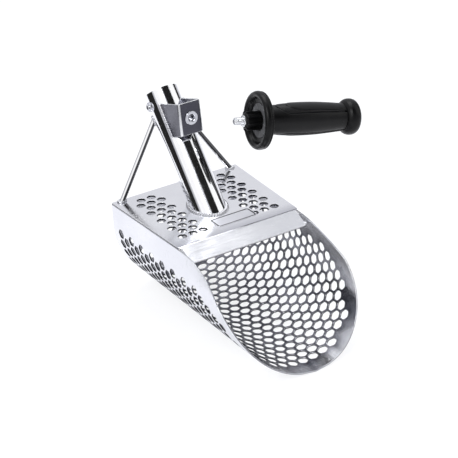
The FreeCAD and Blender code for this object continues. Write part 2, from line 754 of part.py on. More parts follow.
def make_core():
    """Cylinder inside the grip, hollowed for the stud's shank and anchor."""
    body = new_body("handle_core")
    radius, start, end = dim("core_rad"), dim("guard_back") + FIT, dim("grip_end") - FIT
    bore_end = dim("stud_tail") + 0.05
    turn_outline(body, "core", [
        (SHANK_BORE, start), (radius, start), (radius, end), (0, end),
        (0, bore_end), (SHANK_BORE, bore_end)])
    pocket_top = dim("stud_tail") - (ANCHOR_INSET - FIT)
    sketch = new_sketch(body, "anchor_pocket", "XY_Plane", pocket_top)
    hexagon(sketch, DIMS["anchor_flats"] + 2 * FIT)
    pocket(body, sketch, dim("anchor_thk") + 2 * FIT, "anchor_pocket_cut")
    keep(body, "handle_core", HANDLE_FRAME)


GRIP_START, GRIP_END = dim("grip_start"), dim("grip_end")
START_RAD, MID_RAD, END_RAD = dim("grip_rad_start"), dim("grip_rad_mid"), dim("grip_rad_end")
SWELL, TAPER = MID_RAD - START_RAD, MID_RAD - END_RAD
# the grip's outer profile: (radius, height)
GRIP = [
    (START_RAD - 0.8, GRIP_START), (START_RAD, GRIP_START + 1.0),
    (START_RAD + 0.25, GRIP_START + 6.0), (START_RAD + SWELL * 0.5, GRIP_START + 14.0),
    (START_RAD + SWELL * 0.85, GRIP_START + 25.0), (MID_RAD, GRIP_START + 40.0),
    (END_RAD + TAPER * 0.88, GRIP_START + 57.0), (END_RAD + TAPER * 0.5, GRIP_START + 72.0),
    (END_RAD + TAPER * 0.12, GRIP_START + 84.0), (END_RAD, GRIP_END),
]
PANEL_STATIONS = [45.0, 57.0, 72.0, 88.0, 103.0, 117.0]     # heights along the grip
PANEL_ARC = 92.0                                            # degrees
PANEL_TURNS = {"grip_panel_upper": 180.0, "grip_panel_lower": 0.0}


def grip_radius(z):
    for (rad0, z0), (rad1, z1) in zip(GRIP, GRIP[1:]):
        if z0.value <= z <= z1.value:
            return (rad0.value
                    + (rad1.value - rad0.value) * (z - z0.value) / (z1.value - z0.value))
    return GRIP[-1][0].value


def grip_band(inset, proud, arc, turn):
    """A strip of the grip's surface: from inset below it to proud above it."""
    points = [Vector(grip_radius(z) - inset, 0, z) for z in PANEL_STATIONS]
    points += [Vector(grip_radius(z) + proud, 0, z) for z in reversed(PANEL_STATIONS)]
    face = closed_face(points)
    face.rotate(ORIGIN, Z_AXIS, -arc / 2.0)
    band = face.revolve(ORIGIN, Z_AXIS, arc)
    band.rotate(ORIGIN, Z_AXIS, turn)
    return band


def make_grip():
    """Swelling sleeve with a recess for each panel."""
    body = new_body("grip_sleeve")
    bore = dim("core_rad") + FIT
    turn_outline(body, "sleeve", [(bore, GRIP_START)] + GRIP + [(bore, GRIP_END)])
    recesses = doc.addObject("Part::Feature", "panel_recesses")
    recesses.Shape = Part.makeCompound([
        grip_band(DIMS["panel_thk"], 3.0, PANEL_ARC, turn) for turn in PANEL_TURNS.values()])
    grip = doc.addObject("Part::Cut", "handle_grip")
    grip.Base, grip.Tool = body, recesses
    doc.recompute()
    keep(grip, "handle_grip", HANDLE_FRAME)


def make_grip_panels():
    """Panels that fill the recesses and stand a little proud of the grip."""
    for label, turn in PANEL_TURNS.items():
        panel = grip_band(DIMS["panel_thk"] - FIT, 0.25, PANEL_ARC - 0.4, turn)
        shape_piece(label, panel, HANDLE_FRAME)


def make_end_cap():
    """Rounded knob on the far end of the grip."""
    start, end, rim = GRIP_END, dim("cap_end"), dim("cap_rad")
    turned_piece("handle_end_cap", HANDLE_FRAME, [
        (0, start), (END_RAD - 0.4, start), (END_RAD + 1.6, start + 0.9),
        (rim - 1.2, start + 2.6), (rim - 0.2, start + 4.6), (rim, start + 7.5),
        (rim - 0.3, start + 11.0), (rim - 1.6, start + 14.0), (rim - 3.9, end - 0.7),
        (rim - 7.0, end), (0, end)])


make_stud()
make_washer()
make_hub()
make_guard()
make_core()
make_grip()
make_grip_panels()
make_end_cap()

# ==================================================================== export
doc.recompute()
for obj in doc.Objects:
    if "Invalid" in obj.State or "Error" in obj.State:
        raise RuntimeError("failed object: %s %s" % (obj.Name, obj.State))
if len({obj.Label for obj in parts}) != len(parts):
    raise RuntimeError("labels repeat")
for obj in parts:
    if obj.Shape.isNull() or not obj.Shape.isValid() or not obj.Shape.Solids:
        raise RuntimeError("bad shape: " + obj.Label)

os.makedirs("parts", exist_ok=True)
for obj in parts:
    obj.Shape.exportStep(os.path.join("parts", obj.Label + ".step"))
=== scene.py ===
"""Perforated stainless sand scoop with a leaning pole socket and a loose side handle.

The origin lies on the socket's axis, SOCKET_LENGTH up from the top plate. The back
sheet faces +Y, the trough's tip points to -Y and the side handle sticks out to +X.
Lengths are millimetres until make() turns them into metres; the materials' own
scales and the whole stage are in metres.
"""
import bpy
import math
import numpy as np
from mathutils import Matrix, Vector, noise
from mathutils.geometry import delaunay_2d_cdt


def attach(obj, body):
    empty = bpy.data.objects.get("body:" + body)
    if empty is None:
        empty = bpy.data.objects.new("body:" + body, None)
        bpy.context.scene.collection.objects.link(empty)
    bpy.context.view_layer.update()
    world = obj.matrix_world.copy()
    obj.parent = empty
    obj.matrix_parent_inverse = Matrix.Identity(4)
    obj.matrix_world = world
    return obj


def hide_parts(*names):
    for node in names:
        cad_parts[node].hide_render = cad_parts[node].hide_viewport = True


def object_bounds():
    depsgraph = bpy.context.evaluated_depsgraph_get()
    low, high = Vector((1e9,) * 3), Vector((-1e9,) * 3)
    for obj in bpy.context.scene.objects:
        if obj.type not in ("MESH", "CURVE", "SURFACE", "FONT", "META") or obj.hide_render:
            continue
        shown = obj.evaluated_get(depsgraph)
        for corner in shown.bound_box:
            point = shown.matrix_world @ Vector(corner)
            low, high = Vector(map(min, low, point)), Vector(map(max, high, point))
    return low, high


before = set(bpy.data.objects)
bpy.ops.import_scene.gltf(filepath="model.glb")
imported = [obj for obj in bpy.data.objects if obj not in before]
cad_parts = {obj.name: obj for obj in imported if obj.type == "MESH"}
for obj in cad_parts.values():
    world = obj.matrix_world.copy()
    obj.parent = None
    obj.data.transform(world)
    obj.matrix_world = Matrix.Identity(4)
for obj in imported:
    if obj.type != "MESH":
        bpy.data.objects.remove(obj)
CAD_LO, CAD_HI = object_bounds()
scene = bpy.context.scene
TAU = 2 * math.pi

# ------------------------------------------------------------ driving sizes
LEAN = math.radians(39.5)          # socket axis from vertical, towards +Y
SIN, COS = math.sin(LEAN), math.cos(LEAN)
SOCKET_LENGTH = 128.0
SOCKET_RADIUS = 18.0

BACK_Y = 66.0                      # outer face of the back sheet, scoop frame
TROUGH_RADIUS = 75.0
AXIS_DEPTH = 26.0                  # trough's arc centre below the top plate's upper face
TROUGH_THICK = 1.5
PLATE_THICK = 2.0                  # top plate and back sheet
PLATE_LENGTH = 126.0               # top plate from the back sheet to the fold

PITCH = 12.0                       # between hexagon centres
STEP = PITCH * math.sqrt(3) / 2    # between rows of hexagons
HEX_FLATS = 9.6                    # across flats, trough and back
PLATE_HEX_FLATS = 8.6
HEX_CORNER = 0.8                   # eased length each side of a corner
HOLE_ROUND = 0.3                   # rounding of a hole's edges

# Local frames. SCOOP: the socket axis meets the top plate's upper face at its origin.
# TUBE and HANDLE: local Z runs along the socket and the side handle.
SCOOP = Matrix.Translation((0, -SOCKET_LENGTH * SIN, -SOCKET_LENGTH * COS))
TUBE = Matrix.Rotation(-LEAN, 4, "X")
HANDLE = (Matrix.Translation((34.284, -85.082, -13.22))
          @ Matrix.Rotation(math.radians(-8.92), 4, "Z")
          @ Matrix.Rotation(math.radians(100.0), 4, "Y"))


def clamp01(value):
    return min(1.0, max(0.0, value))


# ------------------------------------------------------------ node helpers
class Nodes:
    """A small builder for shader node trees."""

    def __init__(self, tree):
        self.tree = tree
        tree.nodes.clear()

    def add(self, kind, inputs=None, **settings):
        node = self.tree.nodes.new(kind)
        for key, value in settings.items():
            setattr(node, key, value)
        for key, value in (inputs or {}).items():
            self.feed(node, key, value)
        return node

    def feed(self, node, key, value):
        """Link a socket into an input, or set the input's value."""
        if isinstance(value, bpy.types.NodeSocket):
            self.tree.links.new(value, node.inputs[key])
        else:
            node.inputs[key].default_value = value

    def position(self):
        return self.add("ShaderNodeTexCoord").outputs["Object"]

    def geometry(self, output):
        return self.add("ShaderNodeNewGeometry").outputs[output]

    def math(self, operation, *values):
        node = self.add("ShaderNodeMath", dict(enumerate(values)), operation=operation)
        return node.outputs[0]

    def times(self, value, factor):
        return self.math("MULTIPLY", value, factor)

    def scale_add(self, value, factor, plus):
        return self.math("MULTIPLY_ADD", value, factor, plus)

    def remap(self, value, source=(0.0, 1.0), target=(0.0, 1.0)):
        """Carry the source range onto the target range, clamped."""
        inputs = dict(enumerate((value, *source, *target)))
        return self.add("ShaderNodeMapRange", inputs, clamp=True).outputs[0]

    def ramp(self, factor, stops):
        """stops are (position, colour or grey level)."""
        node = self.add("ShaderNodeValToRGB")
        elements = node.color_ramp.elements
        while len(elements) < len(stops):
            elements.new(0.5)
        for element, (position, color) in zip(elements, stops):
            element.position = position
            rgb = color if isinstance(color, tuple) else (color,) * 3
            element.color = (*rgb, 1)
        self.feed(node, 0, factor)
        return node.outputs[0]

    def mix(self, factor, first, second):
        node = self.add("ShaderNodeMix", {0: factor}, data_type="RGBA", blend_type="MIX")
        for key, color in ((6, first), (7, second)):
            self.feed(node, key, (*color, 1) if isinstance(color, tuple) else color)
        return node.outputs[2]

    def noise(self, vector, scale, detail, rough, distort=0.0):
        return self.add("ShaderNodeTexNoise", {
            "Vector": vector, "Scale": scale, "Detail": detail,
            "Roughness": rough, "Distortion": distort}).outputs[0]

    def mapping(self, vector, scale, rotation=(0, 0, 0)):
        inputs = {0: vector, "Scale": scale, "Rotation": rotation}
        return self.add("ShaderNodeMapping", inputs).outputs[0]

    def bump(self, height, strength, distance, normal=None):
        node = self.add("ShaderNodeBump", {
            "Strength": strength, "Distance": distance, "Height": height})
        if normal is not None:
            self.feed(node, "Normal", normal)
        return node.outputs[0]


def new_material(name, shader="ShaderNodeBsdfPrincipled"):
    """A material whose output is fed by one shader node."""
    material = bpy.data.materials.new(name)
    material.use_nodes = True
    nodes = Nodes(material.node_tree)
    output = nodes.add("ShaderNodeOutputMaterial")
    surface = nodes.add(shader)
    nodes.feed(output, 0, surface.outputs[0])
    return material, nodes, surface


# ------------------------------------------------------------ steel
# Extra colour steps for single steels: each takes the colour so far and
# the steel's own shade, cloud and position sockets.
def painted_edge_sheen(nodes, color, fields):
    """Painted reflections: lighter grey on faces square to X, and a painted highlight along the
    edges where faces turn away.
    """
    normal = nodes.geometry("Normal")
    facing = []
    for axis in ((1.0, 0.0, 0.0), (0.0, -0.99345, 0.11427)):
        dot = nodes.add("ShaderNodeVectorMath", {0: normal, 1: axis}, operation="DOT_PRODUCT")
        facing.append(nodes.math("ABSOLUTE", dot.outputs["Value"], 0.0))
    cloud = fields["cloud"]
    # painted highlight along the edges, where faces turn away from both X and the front
    worn = nodes.times(
        nodes.remap(nodes.math("MAXIMUM", *facing), source=(0.90, 0.975), target=(1.0, 0.0)),
        nodes.remap(cloud, source=(0.35, 0.6), target=(0.7, 1.0)))
    # painted reflection: lighter grey on the faces square to X
    cheek_sheen = nodes.times(
        nodes.remap(facing[0], source=(0.8, 0.95), target=(0.0, 0.75)),
        nodes.remap(cloud, source=(0.35, 0.65), target=(0.35, 1.0)))
    color = nodes.mix(cheek_sheen, color, (0.27, 0.272, 0.31))
    return nodes.mix(nodes.times(worn, factor=0.9), color, (0.95, 0.96, 0.97))


def painted_reflection_bands(nodes, color, fields):
    """Painted reflections: light and dark bands by how far a face turns left or right of the
    camera.
    """
    side = nodes.add("ShaderNodeVectorTransform", vector_type="NORMAL",
                     convert_from="WORLD", convert_to="CAMERA")
    nodes.feed(side, 0, nodes.geometry("Normal"))
    across = nodes.add("ShaderNodeSeparateXYZ", {0: side.outputs[0]})
    bands = nodes.ramp(nodes.remap(across.outputs[0], source=(-1.0, 1.0)), stops=[
        (0.0, 0.45), (0.10, 0.60), (0.20, 1.0), (0.46, 1.0),
        (0.56, 0.03), (0.80, 0.03), (0.92, 0.30), (1.0, 0.45)])
    return nodes.mix(0.88, color, bands)


def painted_hole_highlight(nodes, color, fields):
    """Painted highlight: lighter colour around the holes, from the mesh's web attribute."""
    bright = (0.88, 0.885, 0.92)
    web = nodes.add("ShaderNodeAttribute", attribute_name="web").outputs["Fac"]
    metal = nodes.mix(fields["shade"], tuple(0.7 * c for c in bright), bright)
    return nodes.mix(web, metal, color)


def fold_shade(nodes, color, fields):
    """A darker band along the top plate's fold, placed by Y."""
    y = nodes.add("ShaderNodeSeparateXYZ", {0: fields["position"]}).outputs[1]
    near = nodes.times(
        nodes.remap(y, source=(-0.1400, -0.1265), target=(1.0, 0.0)),
        nodes.remap(y, source=(-0.1435, -0.1412)))
    return nodes.mix(nodes.times(near, factor=0.55), color, (0.46, 0.465, 0.52))


def steel(name, tint, dark, roughness, grain, grain_bump, wave, aniso, stain=0.0, finish=None):
    """Polished or brushed metal: streaks along one direction, cloudy
    roughness, a faint waviness that bends reflections, and fine scratches."""
    material, nodes, surface = new_material(name)
    pos = nodes.position()
    streak = nodes.noise(nodes.mapping(pos, grain), scale=1.0, detail=4.0, rough=0.65)
    fine_grain = tuple(g * 3.1 for g in grain)
    fine = nodes.noise(nodes.mapping(pos, fine_grain), scale=1.0, detail=2.0, rough=0.5)
    cloud = nodes.noise(pos, scale=22.0, detail=4.0, rough=0.6, distort=0.4)
    blotch = nodes.noise(pos, scale=75.0, detail=5.0, rough=0.65, distort=0.8)

    cells = nodes.add("ShaderNodeTexVoronoi", {"Scale": 1.0}, feature="DISTANCE_TO_EDGE")
    cell_space = nodes.mapping(pos, scale=(160, 160, 160), rotation=(0.5, 0.9, 0.3))
    nodes.feed(cells, "Vector", cell_space)
    scratch = nodes.remap(cells.outputs[0], source=(0.0, 0.025), target=(1.0, 0.0))
    scratch = nodes.times(scratch, nodes.remap(blotch, source=(0.5, 0.62)))

    shade = nodes.scale_add(nodes.remap(streak, source=(0.25, 0.75), target=(-0.5, 0.5)),
                            factor=0.35, plus=0.5)
    shade = nodes.scale_add(nodes.remap(cloud, source=(0.3, 0.7), target=(-0.5, 0.5)),
                            factor=0.45, plus=shade)
    color = nodes.mix(shade, dark, tint)
    if stain:
        stained = nodes.times(nodes.remap(blotch, source=(0.52, 0.75)), stain)
        color = nodes.mix(stained, color, (0.42, 0.36, 0.30))
    uneven = nodes.scale_add(streak, factor=0.5, plus=nodes.times(cloud, factor=0.5))
    rough = nodes.remap(uneven, source=(0.35, 0.65), target=roughness)
    rough = nodes.math("ADD", rough, nodes.times(scratch, factor=0.18))
    if finish:
        color = finish(nodes, color, {"shade": shade, "cloud": cloud, "position": pos})
    nodes.feed(surface, "Base Color", color)
    nodes.feed(surface, "Roughness", rough)
    nodes.feed(surface, "Metallic", 1.0)
    nodes.feed(surface, "Anisotropic", aniso)

    waves = nodes.noise(pos, scale=16.0, detail=2.0, rough=0.4)
    wavy = nodes.bump(waves, strength=wave, distance=0.004)
    lines = nodes.bump(nodes.scale_add(fine, factor=0.4, plus=streak),
                       strength=grain_bump, distance=0.0002, normal=wavy)
    nodes.feed(surface, "Normal",
               nodes.bump(scratch, strength=0.10, distance=-0.0001, normal=lines))
    return material


# ------------------------------------------------------------ plastic
def plastic(name, base, high, rough, grain_scale, grain_bump, edge, spec):
    """Moulded plastic or rubber: fine grain, a slow colour drift from base
    to high, worn lighter edges and a little unevenness in the roughness."""
    material, nodes, surface = new_material(name)
    pos = nodes.position()
    grain = nodes.noise(pos, grain_scale, detail=4.0, rough=0.7)
    pits = nodes.add("ShaderNodeTexVoronoi", {"Vector": pos, "Scale": grain_scale * 0.9})
    drift = nodes.noise(pos, scale=38.0, detail=5.0, rough=0.6, distort=0.5)
    rub = nodes.times(nodes.remap(nodes.geometry("Pointiness"), source=(0.505, 0.56)), edge)
    rub = nodes.times(rub, nodes.remap(drift, source=(0.35, 0.65), target=(0.4, 1.0)))
    color = nodes.mix(nodes.remap(drift, source=(0.4, 0.75), target=(0.0, 0.35)), base, high)
    color = nodes.mix(rub, color, tuple(min(1, h * 2.6) for h in high))
    nodes.feed(surface, "Base Color", color)
    uneven = nodes.scale_add(grain, factor=0.16, plus=rough - 0.08)
    uneven = nodes.scale_add(nodes.remap(drift, source=(0.4, 0.7)), factor=0.08, plus=uneven)
    nodes.feed(surface, "Roughness", uneven)
    nodes.feed(surface, "Specular IOR Level", spec)
    height = nodes.scale_add(pits.outputs[0], factor=0.6, plus=grain)
    nodes.feed(surface, "Normal", nodes.bump(height, strength=grain_bump, distance=0.00025))
    return material


SHEET = steel("stainless_sheet_mat", tint=(0.90, 0.905, 0.935), dark=(0.70, 0.71, 0.755),
              roughness=(0.12, 0.28), grain=(700, 26, 700), grain_bump=0.04, wave=0.12,
              aniso=0.25)
# painted shade: a darker copy of the sheet steel for the under faces of the trough and top
# plate
SHADED_INSIDE = steel("stainless_inside_shaded_mat", tint=(0.50, 0.505, 0.55), dark=(0.13, 0.132, 0.16),
               roughness=(0.10, 0.24), grain=(700, 26, 700), grain_bump=0.05, wave=0.16,
               aniso=0.25, finish=painted_hole_highlight)
PLATE = steel("stainless_plate_mat", tint=(0.985, 0.988, 1.0), dark=(0.87, 0.875, 0.905),
              roughness=(0.10, 0.22), grain=(36, 800, 800), grain_bump=0.05, wave=0.10,
              aniso=0.35, finish=fold_shade)
POLISHED = steel("stainless_tube_mat", tint=(0.95, 0.955, 0.97), dark=(0.84, 0.85, 0.875),
                 roughness=(0.04, 0.11), grain=(40, 40, 40), grain_bump=0.02, wave=0.05,
                 aniso=0.0)
# a darker steel under painted reflection bands
ROD = steel("brace_rod_mat", tint=(0.56, 0.565, 0.61), dark=(0.16, 0.162, 0.19),
            roughness=(0.05, 0.13), grain=(300, 300, 60), grain_bump=0.05, wave=0.04,
            aniso=0.0, finish=painted_reflection_bands)
# its finish paints a reflection on the side faces and a highlight on the edges
BRACKET = steel("bracket_steel_mat", tint=(0.115, 0.115, 0.138), dark=(0.040, 0.0405, 0.052),
                roughness=(0.24, 0.42), grain=(60, 1300, 1300), grain_bump=0.18, wave=0.06,
                aniso=0.5, stain=0.06, finish=painted_edge_sheen)
BUSH = steel("bush_steel_mat", tint=(0.74, 0.75, 0.79), dark=(0.36, 0.365, 0.40),
             roughness=(0.12, 0.26), grain=(300, 300, 300), grain_bump=0.05, wave=0.03,
             aniso=0.0)
WELD = steel("weld_metal_mat", tint=(0.80, 0.80, 0.82), dark=(0.34, 0.35, 0.38),
             roughness=(0.16, 0.40), grain=(260, 260, 260), grain_bump=0.12, wave=0.08,
             aniso=0.0, stain=0.45)
STUD = steel("plated_stud_mat", tint=(0.93, 0.94, 0.95), dark=(0.74, 0.75, 0.77),
             roughness=(0.10, 0.24), grain=(500, 500, 500), grain_bump=0.05, wave=0.02,
             aniso=0.0)
ETCHED = steel("etched_patch_mat", tint=(0.80, 0.805, 0.84), dark=(0.60, 0.605, 0.64),
               roughness=(0.38, 0.56), grain=(1500, 1500, 1500), grain_bump=0.22, wave=0.02,
               aniso=0.0)
# painted shade: a near-black copy of the steel for the walls of the holes, the rim's edge band
# and the patch's groove
CUT_SHADE = steel("cut_edge_shade_mat", tint=(0.030, 0.0305, 0.038), dark=(0.008, 0.0083, 0.011),
            roughness=(0.26, 0.46), grain=(60, 60, 2600), grain_bump=0.20, wave=0.02,
            aniso=0.0)
PLASTIC = plastic("black_plastic_mat", base=(0.0018, 0.0018, 0.0020),
                  high=(0.0052, 0.0052, 0.0056), rough=0.28, grain_scale=1500.0,
                  grain_bump=0.22, edge=0.6, spec=0.20)
# painted light: a grey copy of the black plastic for the guard's recess floor
LIT_RECESS = plastic("recess_lit_plastic_mat", base=(0.085, 0.086, 0.090), high=(0.175, 0.176, 0.184),
                 rough=0.58, grain_scale=1100.0, grain_bump=0.55, edge=0.4, spec=0.30)
RUBBER = plastic("black_rubber_mat", base=(0.0017, 0.0017, 0.0019),
                 high=(0.0050, 0.0050, 0.0055), rough=0.28, grain_scale=1900.0,
                 grain_bump=0.22, edge=0.8, spec=0.24)
NYLON = plastic("nylon_pad_mat", base=(0.70, 0.69, 0.64), high=(0.80, 0.79, 0.75),
                rough=0.45, grain_scale=1200.0, grain_bump=0.10, edge=0.1, spec=0.5)


# ------------------------------------------------------------ mesh helpers
def add_object(name, data):
    ob = bpy.data.objects.new(name, data)
    scene.collection.objects.link(ob)
    return ob


def make(name, verts, faces, place, materials, body="scoop", stands=(),
         normals=None, sharp=35.0, index=None, web=None):
    """A finished piece from millimetre vertices in a local frame. sharp is
    the angle in degrees past which edges stay sharp, None for all smooth."""
    me = bpy.data.meshes.new(name)
    me.from_pydata([tuple((place @ Vector(v)) * 0.001) for v in verts], [], faces)
    me.update()
    me.shade_smooth()
    if normals is not None:
        turn = place.to_3x3()
        me.normals_split_custom_set([tuple((turn @ Vector(n)).normalized()) for n in normals])
    elif sharp is not None:
        me.set_sharp_from_angle(angle=math.radians(sharp))
    for material in materials:
        me.materials.append(material)
    if web is not None:
        me.attributes.new("web", "FLOAT", "POINT").data.foreach_set("value", web)
    if index is not None:
        me.polygons.foreach_set("material_index", index)
    ob = add_object(name, me)
    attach(ob, body)
    if stands:
        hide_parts(*stands)


def polar(r, angle, z):
    return (r * math.cos(angle), r * math.sin(angle), z)


def band_faces(low, high, count):
    """Quads between two rings of count vertices that start at low and high."""
    return [(low + k, low + (k + 1) % count, high + (k + 1) % count, high + k)
            for k in range(count)]


def rounded(rows, steps):
    """Fillets an open outline of (r, z, fillet) rows into (r, z) points."""
    corners = [Vector(row[:2]) for row in rows]
    out = [rows[0][:2]]
    for before, corner, after, row in zip(corners, corners[1:], corners[2:], rows[1:]):
        back, ahead = before - corner, after - corner
        cut = min(row[2], back.length * 0.48, ahead.length * 0.48)
        start = corner + back * (cut / back.length)
        end = corner + ahead * (cut / ahead.length)
        for k in range(steps + 1):
            t = k / steps
            out.append(tuple(start * (1 - t) ** 2 + corner * 2 * t * (1 - t) + end * t * t))
    out.append(rows[-1][:2])
    return out


def subdivided(outline, steps, wanted):
    """Splits the spans of an open outline that wanted(r0, z0, r1, z1) picks."""
    out = []
    for (r0, z0), (r1, z1) in zip(outline, outline[1:]):
        out.append((r0, z0))
        if wanted(r0, z0, r1, z1):
            out += [(r0 + (r1 - r0) * k / steps, z0 + (z1 - z0) * k / steps)
                    for k in range(1, steps)]
    out.append(outline[-1])
    return out


def lathe(name, outline, segments, shift, stands, sharp, materials=(PLASTIC,), zone=None):
    """A turned handle piece. outline is (r, z) from axis to axis, or a closed
    ring; shift(r, z, angle) gives a point's move along its radius and axis,
    zone(r, z) the material slot of a band."""
    rings, verts = [], []
    for r, z in outline:
        first = len(verts)
        if r < 1e-6:
            verts.append((0, 0, z))
        else:
            for k in range(segments):
                angle = TAU * k / segments
                dr, dz = shift(r, z, angle)
                verts.append(polar(r + dr, angle, z + dz))
        rings.append(range(first, len(verts)))
    pairs = list(zip(range(len(rings) - 1), range(1, len(rings))))
    if outline[0][0] > 1e-6:
        pairs.append((len(rings) - 1, 0))
    faces, index = [], []
    for i, j in pairs:
        low, high = rings[i], rings[j]
        if len(low) == 1:
            band = [(low[0], high[(k + 1) % segments], high[k]) for k in range(segments)]
        elif len(high) == 1:
            band = [(low[k], low[(k + 1) % segments], high[0]) for k in range(segments)]
        else:
            band = band_faces(low[0], high[0], segments)
        faces += band
        if zone:
            r_mid = (outline[i][0] + outline[j][0]) / 2
            z_mid = (outline[i][1] + outline[j][1]) / 2
            index += [zone(r_mid, z_mid)] * len(band)
    make(name, verts, faces, HANDLE, materials, body="side_handle",
         stands=stands, sharp=sharp, index=index or None)


# ------------------------------------------------------------ perforated sheets
def loop_normals(loop):
    """Mitre normals on the right-hand side of each point of a loop."""
    out = []
    for i, p in enumerate(loop):
        before, after = loop[i - 1], loop[(i + 1) % len(loop)]
        arriving = Vector((p[1] - before[1], before[0] - p[0])).normalized()
        leaving = Vector((after[1] - p[1], p[0] - after[0])).normalized()
        mitre = (arriving + leaving).normalized()
        out.append(mitre / max(0.45, mitre.dot(arriving)))
    return out


def inside(loop, points):
    """Which points lie inside a loop, by counting crossings."""
    corners = np.array([tuple(q) for q in loop])
    x, y = points[:, 0], points[:, 1]
    result = np.zeros(len(points), bool)
    for (x0, y0), (x1, y1) in zip(corners, np.roll(corners, -1, 0)):
        if y0 == y1:
            continue
        level = (y0 > y) != (y1 > y)
        result ^= level & (x < (x1 - x0) * (y - y0) / (y1 - y0) + x0)
    return result


def in_holes(holes, points, grow=0.0):
    """Which points lie in any hole, with the holes grown by a fraction."""
    result = np.zeros(len(points), bool)
    for loop in holes:
        centre = sum(loop, Vector((0, 0))) / len(loop)
        grown = [centre + (q - centre) * (1 + grow) for q in loop]
        away = np.hypot(points[:, 0] - centre.x, points[:, 1] - centre.y)
        near = np.where(away < 9.0)[0]
        result[near[inside(grown, points[near])]] = True
    return result


def triangulate(loops, fill, fixed_lines):
    """Fills the flat pattern. Returns its points, its triangles and a map
    from the loops' running point number to the pattern's point."""
    rim, holes = loops[0], loops[1:]
    points, edges = [], []
    for loop in loops:
        first, count = len(points), len(loop)
        points += loop
        edges += [(first + i, first + (i + 1) % count) for i in range(count)]
    fill = np.array(fill, float)
    rim_points = np.array([tuple(q) for q in rim])
    keep = inside(rim, fill) & ~in_holes(holes, fill, grow=0.12)
    for x, y in fill[keep]:
        if np.hypot(rim_points[:, 0] - x, rim_points[:, 1] - y).min() >= 1.2:
            points.append(Vector((float(x), float(y))))
    for line in fixed_lines:
        first = len(points)
        points += [Vector(q) for q in line]
        edges += [(first + i, first + i + 1) for i in range(len(line) - 1)]
    flat, _, triangles, origins, _, _ = delaunay_2d_cdt(points, edges, [], 0, 1e-5)
    merged = {source: i for i, sources in enumerate(origins) for source in sources}
    centres = np.array([[sum(flat[i].x for i in t) / len(t), sum(flat[i].y for i in t) / len(t)]
                        for t in triangles])
    sheet = inside(rim, centres) & ~in_holes(holes, centres)
    return flat, [t for t, ok in zip(triangles, sheet) if ok], merged


def edge_profile(radius, thick):
    """A rounded edge from top to bottom face, as rows of
    (inset, depth, outward part of the normal, upward part)."""
    cut = 0.293 * radius
    return [(radius, 0, 0, 1), (cut, cut, 0.707, 0.707), (0, radius, 1, 0),
            (0, thick - radius, 1, 0), (cut, thick - cut, 0.707, -0.707),
            (radius, thick, 0, -1)]


def perforated(name, outline, holes, fill, surface, thick, rim_round, materials, stands,
               fixed_lines=()):
    """A sheet with real holes. outline is counter-clockwise and the holes
    clockwise in the flat pattern; surface(u, v) gives point and normal.
    materials are for the top face, the cut walls and the under face."""
    loops = [outline, *holes]
    rounds = [rim_round] + [HOLE_ROUND] * len(holes)
    mitres = [loop_normals(loop) for loop in loops]
    face_loops = [[Vector((p[0] - n.x * radius, p[1] - n.y * radius))
                   for p, n in zip(loop, mitre)]
                  for loop, mitre, radius in zip(loops, mitres, rounds)]
    flat, triangles, merged = triangulate(face_loops, fill, fixed_lines)

    # web is 1 close to a hole and falls to 0 at 15 mm from its centre; it places the painted
    # highlight round the holes
    centres = np.array([[sum(q.x for q in loop) / len(loop), sum(q.y for q in loop) / len(loop)]
                        for loop in face_loops[1:]])
    verts, vert_normals, web = [], [], []
    top, bottom = {}, {}
    for i in sorted({i for t in triangles for i in t}):
        u, v = flat[i]
        point, up = surface(u, v)
        top[i], bottom[i] = len(verts), len(verts) + 1
        verts += [point, point - up * thick]
        vert_normals += [up, -up]
        nearest = np.hypot(centres[:, 0] - u, centres[:, 1] - v).min()
        web += [float(clamp01((15.0 - nearest) / 8.5))] * 2

    faces, normals, index = [], [], []

    def add_face(ids, corner_normals, part):
        faces.append(ids)
        normals.extend(corner_normals)
        index.append(part)

    a, b, c = (verts[top[i]] for i in triangles[0])
    flip = (b - a).cross(c - a).dot(vert_normals[top[triangles[0][0]]]) < 0
    for triangle in triangles:
        order = list(reversed(triangle)) if flip else list(triangle)
        for side, part in ((top, 0), (bottom, 2)):
            ids = [side[i] for i in order]
            add_face(ids, [vert_normals[i] for i in ids], part)
            order.reverse()

    first = 0
    for loop_number, (loop, mitre, radius) in enumerate(zip(loops, mitres, rounds)):
        profile = edge_profile(radius, thick)
        columns, column_normals = [], []
        for i, ((u, v), n) in enumerate(zip(loop, mitre)):
            point, up = surface(u, v)
            out = surface(u + n.x * 0.05, v + n.y * 0.05)[0] - point
            out = (out - up * out.dot(up)).normalized()
            column = [top[merged[first + i]]]
            for inset, depth, _, _ in profile[1:-1]:
                edge_point, edge_up = surface(u - n.x * inset, v - n.y * inset)
                column.append(len(verts))
                verts.append(edge_point - edge_up * depth)
            columns.append(column + [bottom[merged[first + i]]])
            column_normals.append([(out * outward + up * upward).normalized()
                                   for _, _, outward, upward in profile])
        for i in range(len(loop)):
            m = (i + 1) % len(loop)
            for j in range(len(profile) - 1):
                ids = [columns[i][j], columns[i][j + 1], columns[m][j + 1], columns[m][j]]
                corner_normals = [column_normals[i][j], column_normals[i][j + 1],
                                  column_normals[m][j + 1], column_normals[m][j]]
                a, b, c = (verts[k] for k in ids[:3])
                if (b - a).cross(c - a).dot(sum(corner_normals, Vector((0, 0, 0)))) < 0:
                    ids.reverse()
                    corner_normals.reverse()
                # painted shade from the cut material covers most of a hole's wall, and only the
                # rim's flat band
                cut = 0 < j < len(profile) - 2 if loop_number else j == 2
                add_face(ids, corner_normals, int(cut))
        first += len(loop)
    web += [0.5] * (len(verts) - len(web))
    make(name, verts, faces, SCOOP, materials, stands=stands,
         normals=normals, index=index, web=web)


